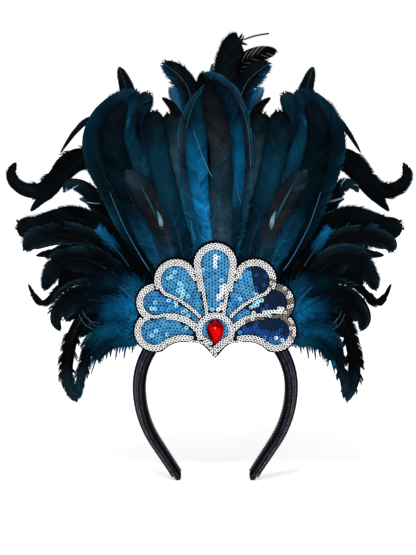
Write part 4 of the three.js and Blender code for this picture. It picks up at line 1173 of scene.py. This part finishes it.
def braid_places():
    """Where the braid's small sequins sit: rows that follow each outline, none too near another."""
    point = MEDALLION_POINT + SILVER_SEQUIN["radius"]
    rows = [np.array([[0, -point], [0, -point - 4 * SILVER_PITCH]])]
    rows.extend(medallion_outline(grow, SILVER_POINT_RIM) for grow in SILVER_POINT_ROWS)
    for _, index, side in all_petals():
        rows.extend(petal_outline(PETALS[index], side, grow) for grow in SILVER_ROWS)
    rows.extend(notch_outline(side, -rise) for side in (-1, 1) for rise in SILVER_ROWS)
    places, turns = [], []
    for outline in rows:
        closed = np.concatenate([outline, outline[:1]])
        _, far = measured(closed)
        row = between(np.arange(0, far[-1], SILVER_PITCH), far, closed)
        ahead = np.roll(row, -1, 0) - row
        places.append(row)
        turns.append(np.arctan2(ahead[:, 0], ahead[:, 1]))
    places, turns = np.concatenate(places), np.concatenate(turns)
    good = on_braid(places, SILVER_INSIDE, SILVER_INSIDE)
    places, turns = places[good], turns[good]
    kept = []
    for i, place in enumerate(places):
        if not kept or np.min(np.hypot(*(places[kept] - place).T)) > SILVER_PITCH * SILVER_NEAREST:
            kept.append(i)
    return places[kept], turns[kept]


def silver_braid(rng):
    """The braid: a dark tape cut to the border and closely sewn with small silver sequins."""
    outlines = [medallion_outline(SILVER_WIDTH - TAPE_SHORT, SILVER_POINT_RIM), medallion_outline(GAP),
                medallion_outline(MEDALLION_RIM - GAP)]
    outlines += [notch_outline(side, -TAPE_SHORT) for side in (-1, 1)]
    for _, index, side in all_petals():
        grows = (SILVER_WIDTH - TAPE_SHORT, GAP, SILVER_BETWEEN - GAP)
        outlines += [petal_outline(PETALS[index], side, grow) for grow in grows]
    keep = lambda p: on_braid(p, GAP, TAPE_SHORT)
    tape = flat_body(outlines, keep, PANEL_BACK, SILVER_FRONT, linear("ink"))
    places, turns = braid_places()
    return [tape, *sewn(SILVER_SEQUIN, places, turns, SILVER_SEQUIN_FRONT, SILVER_TILT, SILVER_DARK_REFLECTIONS, rng)]


def board():
    """The felt board, a little wider than the braid except along its smooth lower edge."""
    outlines = [medallion_outline(SILVER_WIDTH + GAP, SILVER_POINT_RIM), notch_outline(-1, GAP),
                notch_outline(1, GAP)]
    outlines += [petal_outline(PETALS[i], s, SILVER_WIDTH + BOARD_MARGIN) for _, i, s in all_petals()]

    def keep(points):
        low = (np.abs(points[:, 0]) < BOARD_LOW_SHARE * PLAQUE_REACH) & (points[:, 1] < 0)
        return ~low | (border_distance(points) < 2 * GAP)

    return [flat_body(outlines, keep, BOARD_BACK, BOARD_FRONT, linear("ink") * FELT_SHADE)]


# Stone

def pear(turns, scale, deep):
    """Points of the stone's outline at turns (0 at the top), scaled, at a depth share."""
    a = np.asarray(turns) * 2 * math.pi
    down = (1 - np.cos(a)) / 2
    across = GEM_WIDTH / 2 * np.sin(a) * (GEM_BELLY - GEM_POINTING * down ** GEM_SHOULDER)
    front = PANEL_FRONT - GAP - deep * GEM_THICK
    up = MEDALLION_CENTRE + scale * GEM_HEIGHT / 2 * np.cos(a)
    return np.stack([scale * across, np.full(len(a), front), up], -1)


def gem_facets():
    """The stone's facets, each with its painted shade as a share of the colour, and the least painted light
    that it shows.
    """
    n, k = GEM_SIDES, np.arange(GEM_SIDES)
    rings = {"hub": [0], "table": k / n, "star": (k + 0.5) / n}
    hub, table, star, girdle, back = (
        pear(rings.get(name, np.arange(2 * n) / (2 * n)), *place) for name, place in GEM_RINGS.items())
    facets = [([hub[0], table[i], table[(i + 1) % n]], 1, TABLE_LEAST_LIGHT) for i in k]
    for i in k:
        crown = [
            [table[i], table[(i + 1) % n], star[i]],
            [table[i], star[i - 1], girdle[2 * i], star[i]],
            [star[i], girdle[2 * i], girdle[2 * i + 1]],
            [star[i], girdle[2 * i + 1], girdle[(2 * i + 2) % (2 * n)]],
        ]
        facets += [(facet, depth, 0) for facet, depth in zip(crown, CROWN_PAINTED_SHADES)]
    for i in range(2 * n):
        j = (i + 1) % (2 * n)
        facets.append(([girdle[i], girdle[j], back[j], back[i]], EDGE_FACET_PAINTED_SHADE, 0))
    return [*facets, (back[::-1], EDGE_FACET_PAINTED_SHADE, 0)]


def gem(rng):
    """A pear-shaped stone: its table, stars, kites and girdle facets, an edge, a flat back and a painted
    glint.
    """
    centre = np.array([0, PANEL_FRONT - GAP - GEM_MIDDLE * GEM_THICK, MEDALLION_CENTRE])
    parts = []
    for corners, depth, least in gem_facets():
        facet = np.array(corners)
        normal = unit(np.cross(facet[1] - facet[0], facet[2] - facet[1]))
        if normal @ (facet.mean(0) - centre) < 0:
            facet, normal = facet[::-1], -normal
        # Painted light: a facet's red goes towards ruby as it faces right and down and towards garnet as it
        # faces up, a little unevenly, and is then darkened by its painted shade.
        facet_light = FACET_LIGHT_LEVEL + FACET_LIGHT_ACROSS * normal[0] - FACET_LIGHT_DOWN * normal[2] + rng.normal(0, FACET_LIGHT_SPREAD)
        tint = mix(linear("garnet"), linear("ruby"), np.clip(facet_light, least, 1)) * depth
        parts.append(part(facet, [np.arange(len(facet))[None]], tint))
    # A painted glint: a small pale pink square just in front of the table's top.
    flare = pear(np.arange(4) / 4, FLARE_SIZE, 1.01) + [0, 0, GEM_HEIGHT * FLARE_UP]
    parts.append(part(flare, [np.arange(4)[None]], linear("glint_pink")))
    return parts


# Feathers

def rows_of(columns, table, tape):
    """A tape's rows of a table as dicts by column, with what else each row sets."""
    for values in table.get(tape, []):
        row = dict(zip(columns, values), tape=tape)
        yield {**row, **row.get("more", {})}


def tape_middle(tape):
    return BOARD_BACK + GAP + TAPE_THICK / 2 + tape["layer"] * (TAPE_THICK + GAP)


def tape_strip(tape, side):
    """The tape that a plume is sewn on."""
    seats = np.radians(np.linspace(*tape["seats"], TAPE_CUTS))[:, None]
    up, deep = np.array([(-1, -1), (1, -1), (1, 1), (-1, 1)]).T
    radius = SEAT_RADIUS + up * TAPE_WIDTH / 2
    y = np.broadcast_to(tape_middle(tape) + deep * TAPE_THICK / 2, (len(seats), 4))
    rings = np.stack([side * radius * np.sin(seats), y, CROWN_CENTRE + radius * np.cos(seats)], -1)
    grain = np.stack(np.broadcast_arrays(seats * SEAT_RADIUS, [0, TAPE_WIDTH, TAPE_WIDTH, 0]), -1)
    return part(rings, lofted(rings[None]), linear("ink"), material=2, grain=grain)


def curve_through(points):
    """A Catmull-Rom curve through points, cut finely."""
    p = np.concatenate([points[:1], points, points[-1:]])
    t = np.arange(1, CURVE_CUTS + 1)[:, None] / CURVE_CUTS
    weights = [-t + 2 * t ** 2 - t ** 3, 2 - 5 * t ** 2 + 3 * t ** 3,
               t + 4 * t ** 2 - 3 * t ** 3, t ** 3 - t ** 2]
    spans = [sum(w * p[i + k] for k, w in enumerate(weights)) / 2 for i in range(len(points) - 1)]
    return np.concatenate([points[:1], *spans])


class Shaft:
    """A feather's middle line, with its length, and the vane's two axes along it."""

    def __init__(self, feather, side):
        loose = "depth" in feather
        across, up = np.array(feather["path"]).T
        if feather["side"] == 0 and side > 0:
            across = across * mix(RIGHT_INNER, RIGHT_OUTER, ease(*RIGHT_SPAN, across))
        points = np.stack([side * across * FAN_REACH, CROWN_CENTRE + up * FAN_REACH], -1)
        if not loose:
            seat = math.radians(feather["seat"])
            seated = [side * SEAT_RADIUS * math.sin(seat), CROWN_CENTRE + SEAT_RADIUS * math.cos(seat)]
            points = np.concatenate([[seated], points])
        flat = curve_through(points)
        steps, far = measured(flat)
        if loose:
            lean, start = np.full(len(far), feather["lean"]), feather["depth"]
        else:
            lean = feather["lean"] * ease(*(share * TAPE_WIDTH for share in LEAN_SPAN), far)
            lean = lean + feather["curl"] * (far / far[-1]) ** 2
            start = feather["step"] * TAPE_THICK / 2
        back = np.concatenate([[0], np.cumsum(steps * np.tan(np.radians(lean[1:])))])
        y = tape_middle(TAPES[feather["tape"]]) + start + back
        scale = 1 + y / VIEW_DISTANCE
        self.place = np.stack([flat[:, 0] * scale, y, VIEW_HEIGHT + (flat[:, 1] - VIEW_HEIGHT) * scale], -1)
        self.far, self.length = far, far[-1]
        self.ahead = unit(np.gradient(self.place, axis=0))
        self.wide = unit(np.stack([self.ahead[:, 2], np.zeros(len(far)), -self.ahead[:, 0]], -1) * side)
        self.face = unit(np.cross(self.ahead, self.wide) * side)

    def read(self, values, along):
        return between(along, self.far, values)

    def surface(self, along, across):
        """Points along the shaft and across the vane, and the backward direction there."""
        over = np.maximum(along - self.length, 0)[..., None]
        wide, face = self.read(self.wide, along), self.read(self.face, along)
        sag = BARB_SAG * across ** 2 / (FEATHER_WIDTH / 2)
        place = self.read(self.place, along) + over * self.ahead[-1]
        return place + wide * across[..., None] + face * sag[..., None], face


def vane_half(feather, t):
    """Half the vane's width at shares t of the feather."""
    end = 1 - feather.get("bare", 0)
    u = np.clip((t / end - feather["taper"]) / (1 - feather["taper"]), 0, 1)
    full = mix(QUILL_WIDTH, FEATHER_WIDTH * feather["width"], ease(QUILL_SHARE, FULL_SHARE, t))
    return full * np.sqrt(1 - u ** 2) / 2


def vane_colour(feather, t, q, way=1):
    """The vane's colours at shares t along it and q out to its edge, on one side."""
    stops = np.array([linear(name) for name in feather["look"].split()]) * FEATHER_GAIN
    colour = between(t, np.linspace(0, 1, len(stops)), stops)
    # A rim colours the barbs' ends; on the side plumes it is painted sheen.
    if "rim" in feather and feather.get("rim_way", way) == way:
        share = RIM_SHARE * q ** RIM_POWER * ease(*RIM_ALONG, t)
        return mix(colour, linear(feather["rim"]), share[..., None])
    # Without a rim on this side, the barbs are painted darker towards the vane's edge, as shade where
    # feathers overlap.
    return colour * (1 - VANE_EDGE_PAINTED_SHADE * q ** EDGE_POWER)[..., None]


def strips(centre, back, half, thick, tilt, tint, stretch):
    """Strips along centre lines (count, stations, 3), flat in front and ridged behind, with their grain."""
    count, stations = centre.shape[:2]
    across = unit(np.cross(np.gradient(centre, axis=1), back))
    left = centre - across * half[..., None] + back * (tilt * half)[..., None]
    right = centre + across * half[..., None] - back * (tilt * half)[..., None]
    ridge = centre + back * (thick * np.minimum(half / half.max(), 1))[..., None]
    rings = np.stack([left, right, ridge], 2)
    along = np.linspace(0, stretch, stations)[None, :, None]
    places = np.arange(count)[:, None, None] * GRAIN_APART + np.array([0, 1, 0.5])
    grain = np.stack(np.broadcast_arrays(along, places), -1)
    tint = np.repeat(np.clip(tint, 0, 1)[:, :, None], 3, 2).reshape(-1, 3)
    return part(rings, lofted(rings), tint, grain=grain)


def vane(shaft, feather, way, rng):
    """One side of a feather: close barbs that part in clumps, some of them ragged or striped."""
    first, last = QUILL_SHARE, 1 - feather.get("bare", 0) - TIP_CLEAR
    count = int((last - first) * shaft.length / BARB_PITCH)
    root = np.linspace(first, last, count)
    clump = np.cumsum(rng.random(count) < 1 / feather.get("clump", CLUMP))
    swing = rng.normal(0, CLUMP_SWING, clump[-1] + 1)[clump]
    ragged = feather.get("ragged", CLUMP_RAGGED) * rng.random(clump[-1] + 1)[clump] ** 3
    short = 1 - ragged - BARB_RAGGED * rng.random(count)
    glow = rng.normal(1, CLUMP_SHADE, clump[-1] + 1)[clump] * rng.normal(1, BARB_SHADE, count)
    angle = np.radians(mix(*BARB_ANGLES, root) + swing + rng.normal(0, BARB_SWING, count))
    slope = 1 / np.tan(angle)
    reach = np.full(count, FEATHER_WIDTH / 4)
    for _ in range(REACH_ROUNDS):
        reach = mix(reach, vane_half(feather, root + reach * slope / shaft.length), 0.5)
    reach = np.maximum(reach * short, BARB_SHORTEST)
    striped = np.zeros(count, bool)
    if "stripes" in feather:
        places = root * shaft.length + STRIPE_SLANT * way + rng.normal(0, STRIPE_WANDER, count)
        striped = places % feather["stripes"] < BARB_PITCH * STRIPE_WIDTH
    q = np.array(BARB_CUTS)
    along = root[:, None] * shaft.length + (reach * slope)[:, None] * q ** BARB_CURVE[0]
    across = way * reach[:, None] * q ** BARB_CURVE[1]
    centre, back = shaft.surface(along, across)
    centre += back * rng.normal(0, BARB_WAVE, (count, 1, 1))
    half = BARB_PITCH * np.sin(angle)[:, None] * BARB_OVERLAP / 2 * np.array(BARB_WIDTHS)
    t = np.clip(along / shaft.length, 0, 1)
    tint = vane_colour(feather, t, np.broadcast_to(q, t.shape), way) * glow[:, None, None]
    if striped.any():
        tint[striped] = linear(feather["stripe"]) * ease(*STRIPE_ROOT, q)[:, None]
    return strips(centre, back, half, BARB_THICK, way * BARB_SHINGLE, tint, BARB_GRAIN)


def web(shaft, feather):
    """The thin blade behind the barbs, where they hook together and nothing shows through, painted darker as
    shade.
    """
    count = max(16, int(shaft.length / WEB_STEP))
    t = np.linspace(QUILL_SHARE, 1 - feather.get("bare", 0) - WEB_TIP_CLEAR, count)[:, None]
    share = WEB_SHARE * (1 - WEB_TORN * feather.get("ragged", 0))
    across = share * vane_half(feather, t) * np.array([-1, 0, 1, 0])
    along = np.repeat(t, 4, 1)
    place, back = shaft.surface(along * shaft.length, across)
    place = place + back * (WEB_BEHIND + WEB_THICK * np.array([0, -0.5, 0, 0.5]))[:, None]
    # Behind a feather's barbs the blade is painted darker, as shade; a loose slip keeps its full colour.
    shade = 1 if "depth" in feather else WEB_PAINTED_SHADE
    tint = vane_colour(feather, along, np.zeros(along.shape)) * shade
    grain = np.stack(np.broadcast_arrays(t * shaft.length / WEB_STEP, across), -1)
    return part(place, lofted(place[None]), tint.reshape(-1, 3), grain=grain)


def down(shaft, feather, way, share, pitch, reach, rng):
    """Loose wavy barbs between two shares of the shaft, reaching out by about the given length."""
    count = int((share[1] - share[0]) * shaft.length / pitch)
    root = np.sort(rng.uniform(*share, count))[:, None]
    angle = np.radians(rng.normal(mix(*DOWN_ANGLES, root[:, 0]), DOWN_SWING))[:, None]
    length = reach * rng.uniform(*DOWN_LENGTHS, count)[:, None]
    q = np.linspace(0, 1, len(DOWN_WIDTHS))
    wave = rng.uniform(0, 2 * math.pi, (count, 1))
    sway = DOWN_SWAY * length * q * np.sin(wave + q * rng.uniform(*DOWN_WAVES, (count, 1)))
    along = root * shaft.length + length * q * np.cos(angle) - sway * np.sin(angle)
    across = way * (length * q * np.sin(angle) + sway * np.cos(angle))
    centre, back = shaft.surface(along, across)
    lift = rng.uniform(*DOWN_LIFT, (count, 1)) * q + DOWN_CURL * length * q * np.cos(wave + DOWN_CURLS * q)
    centre = centre + back * lift[..., None]
    half = DOWN_WIDTH / 2 * np.array(DOWN_WIDTHS) * np.ones((count, 1))
    t = np.clip(along / shaft.length, 0, 1)
    tint = vane_colour(feather, t, np.broadcast_to(q, t.shape)) * rng.normal(*DOWN_SHADES, (count, 1, 1))
    return strips(centre, back, half, DOWN_WIDTH / 2, DOWN_TILT, tint, DOWN_GRAIN)


def quill(shaft, feather):
    """The shaft: a tapered round rod, in front of the vane where the table gives it a colour."""
    count = max(12, int(shaft.length / SHAFT_STEP))
    along = np.linspace(0, shaft.length, count)
    t = along / shaft.length
    centre, back = shaft.surface(along, np.zeros(count))
    if "quill" in feather:
        centre, radius = centre - back * SHOWN_FRONT, mix(*SHOWN_RADII, t)
        tint = np.broadcast_to(linear(feather["quill"]), (count, 3))
    else:
        centre, radius = centre + back * SHAFT_BEHIND, mix(*SHAFT_RADII, t)
        tint = vane_colour(feather, t, np.zeros(count)) * SHAFT_SHADE
    radius = np.where(t > 1 - feather.get("bare", 0), BARE_RADIUS, radius)[:, None, None]
    around = circle(SHAFT_SIDES)[:, None]
    wide = shaft.read(shaft.wide, along)
    rings = centre[:, None] + radius * (wide[:, None] * np.cos(around) + back[:, None] * np.sin(around))
    return part(rings, lofted(rings[None]), np.repeat(tint, SHAFT_SIDES, 0), material=1, smooth=True)


def feather_parts(feather, side, rng):
    """A feather's shaft, its blade, and on each side its barbs and the tuft at its root, or its fluff."""
    shaft = Shaft(feather, side)
    parts = [quill(shaft, feather), web(shaft, feather)]
    for way in (-1, 1):
        if feather.get("down"):
            reach = DOWN_REACH * feather["width"]
            parts.append(down(shaft, feather, way, DOWN_ALONG, DOWN_PITCH, reach, rng))
            continue
        parts.append(vane(shaft, feather, way, rng))
        if feather["tape"] != "fan_back":
            parts.append(down(shaft, feather, way, ROOT_DOWN, ROOT_DOWN_PITCH, ROOT_DOWN_REACH, rng))
    return parts


def loose_parts(row, side):
    """A loose quill or slip of vane, repeated with a shift where the table says, no two alike."""
    parts = []
    for i in range(row.get("count", 1)):
        path = np.array(row["path"])
        path = path[0] + (path - path[0]) * (1 + LOOSE_STRETCH * math.sin(4 * i))
        path = path + np.array(row.get("shift", [0, 0])) * (i + LOOSE_DRIFT * math.sin(7 * i))
        shaft = Shaft({**row, "path": path}, side)
        parts.append((quill if "quill" in row else web)(shaft, row))
    return parts


def plume(name, side, seed):
    """All the feathers on one tape. side: 0 for a fan across both halves."""
    rng = np.random.default_rng(seed)
    parts = [tape_strip(TAPES[name], side or 1)]
    sides = lambda row: [side] if side else [s for s in (-1, 1) if row["side"] in (0, s)]
    for feather in rows_of(FEATHER_COLUMNS, FEATHERS, name):
        for s in sides(feather):
            parts.extend(feather_parts(feather, s, rng))
    for row in rows_of(LOOSE_COLUMNS, LOOSE, name):
        for s in sides(row):
            parts.extend(loose_parts(row, s))
    return parts


# The whole object

def build_band():
    rng = np.random.default_rng(3)
    satin = cloth_look("satin", 1.2, 0.42, 0.12)
    ribbon = cloth_look("ribbon", 1.1, 0.6, 0.5)
    thread = cloth_look("gimp_thread", 3, 0.55, 0.4)
    band = make_piece("band_satin", [band_satin()], [satin], ["headband"])
    make_piece("band_ribbon", band_ribbon(rng), [ribbon], ["band_lining"])
    make_piece("front_gimp", gimp("front", rng), [thread], ["front_braid"])
    make_piece("outer_gimp", gimp("crest", rng), [thread], ["outer_braid"])


def build_plaque():
    rng = np.random.default_rng(5)
    backing, sequin = cloth_look("panel_cloth", 2, 0.7, 0.3), sequin_look()
    make_piece("board_felt", board(), [felt_look()], ["plaque_board"])
    make_piece("silver_sequin_braid", silver_braid(rng), [backing, silver_look()], ["silver_braid"])
    make_piece("medallion_sequins", medallion_sequins(rng), [backing, sequin], ["medallion"])
    for name, index, side in all_petals():
        sequins = petal_sequins(index, side, rng)
        make_piece("sequins_" + name, sequins, [backing, sequin], ["petal_" + name])
    make_piece("pear_stone", gem(rng), [stone_look()], ["stone"])


def build_feathers():
    looks = [feather_look(), shaft_look(), cloth_look("tape_ribbon", 2, 0.6, 0.4)]
    rows = [("fan_front", 0), ("fan_middle", 0), ("fan_back", 0), ("side_plume", -1), ("side_plume", 1)]
    for seed, (name, side) in enumerate(rows):
        node = name + {0: "", -1: "_left", 1: "_right"}[side]
        make_piece("feathers_" + node, plume(name, side, seed), looks, [node])


# Stage

def floor():
    """A pale floor that glows softly, the more so away from the part."""
    bpy.ops.mesh.primitive_plane_add(size=FLOOR_SIZE, location=(AXIS_X, 0, -FLOOR_BELOW))
    plane = bpy.context.object
    plane.name = "floor"
    look = Look("floor_white", Specular_IOR_Level=0, Roughness=1, Emission_Color=(1, 1, 1, 1),
                Base_Color=(FLOOR_WHITE, FLOOR_WHITE, FLOOR_WHITE * 1.01, 1))
    far = look.node("ShaderNodeVectorMath", operation="LENGTH")
    look.links.new(look.place(), far.inputs[0])
    low, high = FLOOR_GLOW
    glow = look.node("ShaderNodeMapRange", From_Max=FLOOR_GLOW_REACH, To_Min=low, To_Max=high)
    look.links.new(far.outputs["Value"], glow.inputs["Value"])
    look.links.new(glow.outputs["Result"], look.shader.inputs["Emission Strength"])
    plane.data.materials.append(look.material)


def sky():
    """A white sky: full white to the camera, and softer as light."""
    world = bpy.data.worlds.new("studio")
    world.use_nodes = True
    nodes, links = world.node_tree.nodes, world.node_tree.links
    soft, seen = nodes["Background"], nodes.new("ShaderNodeBackground")
    soft.inputs["Color"].default_value = seen.inputs["Color"].default_value = (1, 1, 1, 1)
    soft.inputs["Strength"].default_value = SKY_LIGHT
    rays, either = nodes.new("ShaderNodeLightPath"), nodes.new("ShaderNodeMixShader")
    links.new(rays.outputs["Is Camera Ray"], either.inputs[0])
    links.new(soft.outputs[0], either.inputs[1])
    links.new(seen.outputs[0], either.inputs[2])
    links.new(either.outputs[0], nodes["World Output"].inputs[0])
    bpy.context.scene.world = world


def lights():
    aim = Vector((AXIS_X, BAND_Y, LIGHT_AIM))
    for row in LIGHTS:
        data = bpy.data.lights.new(row["name"], "AREA")
        data.energy, data.size = row["power"], row["size"]
        light = bpy.data.objects.new(row["name"], data)
        light.location = row["at"]
        light.rotation_euler = (aim - light.location).to_track_quat("-Z", "Y").to_euler()
        bpy.context.scene.collection.objects.link(light)


def camera():
    data = bpy.data.cameras.new("camera")
    data.sensor_width, data.lens, data.shift_x = CAMERA_SENSOR, CAMERA_LENS, CAMERA_SHIFT
    data.sensor_fit = "HORIZONTAL"
    made = bpy.data.objects.new("camera", data)
    rise = math.radians(CAMERA_RISE)
    made.location = (AXIS_X, BAND_Y - CAMERA_DISTANCE * math.cos(rise),
                     CAMERA_AIM + CAMERA_DISTANCE * math.sin(rise))
    made.rotation_euler = (math.pi / 2 - rise, 0, 0)
    bpy.context.scene.collection.objects.link(made)
    bpy.context.scene.camera = made


bpy.context.scene.view_settings.view_transform = "Standard"
build_band()
build_plaque()
build_feathers()
floor()
sky()
lights()
camera()
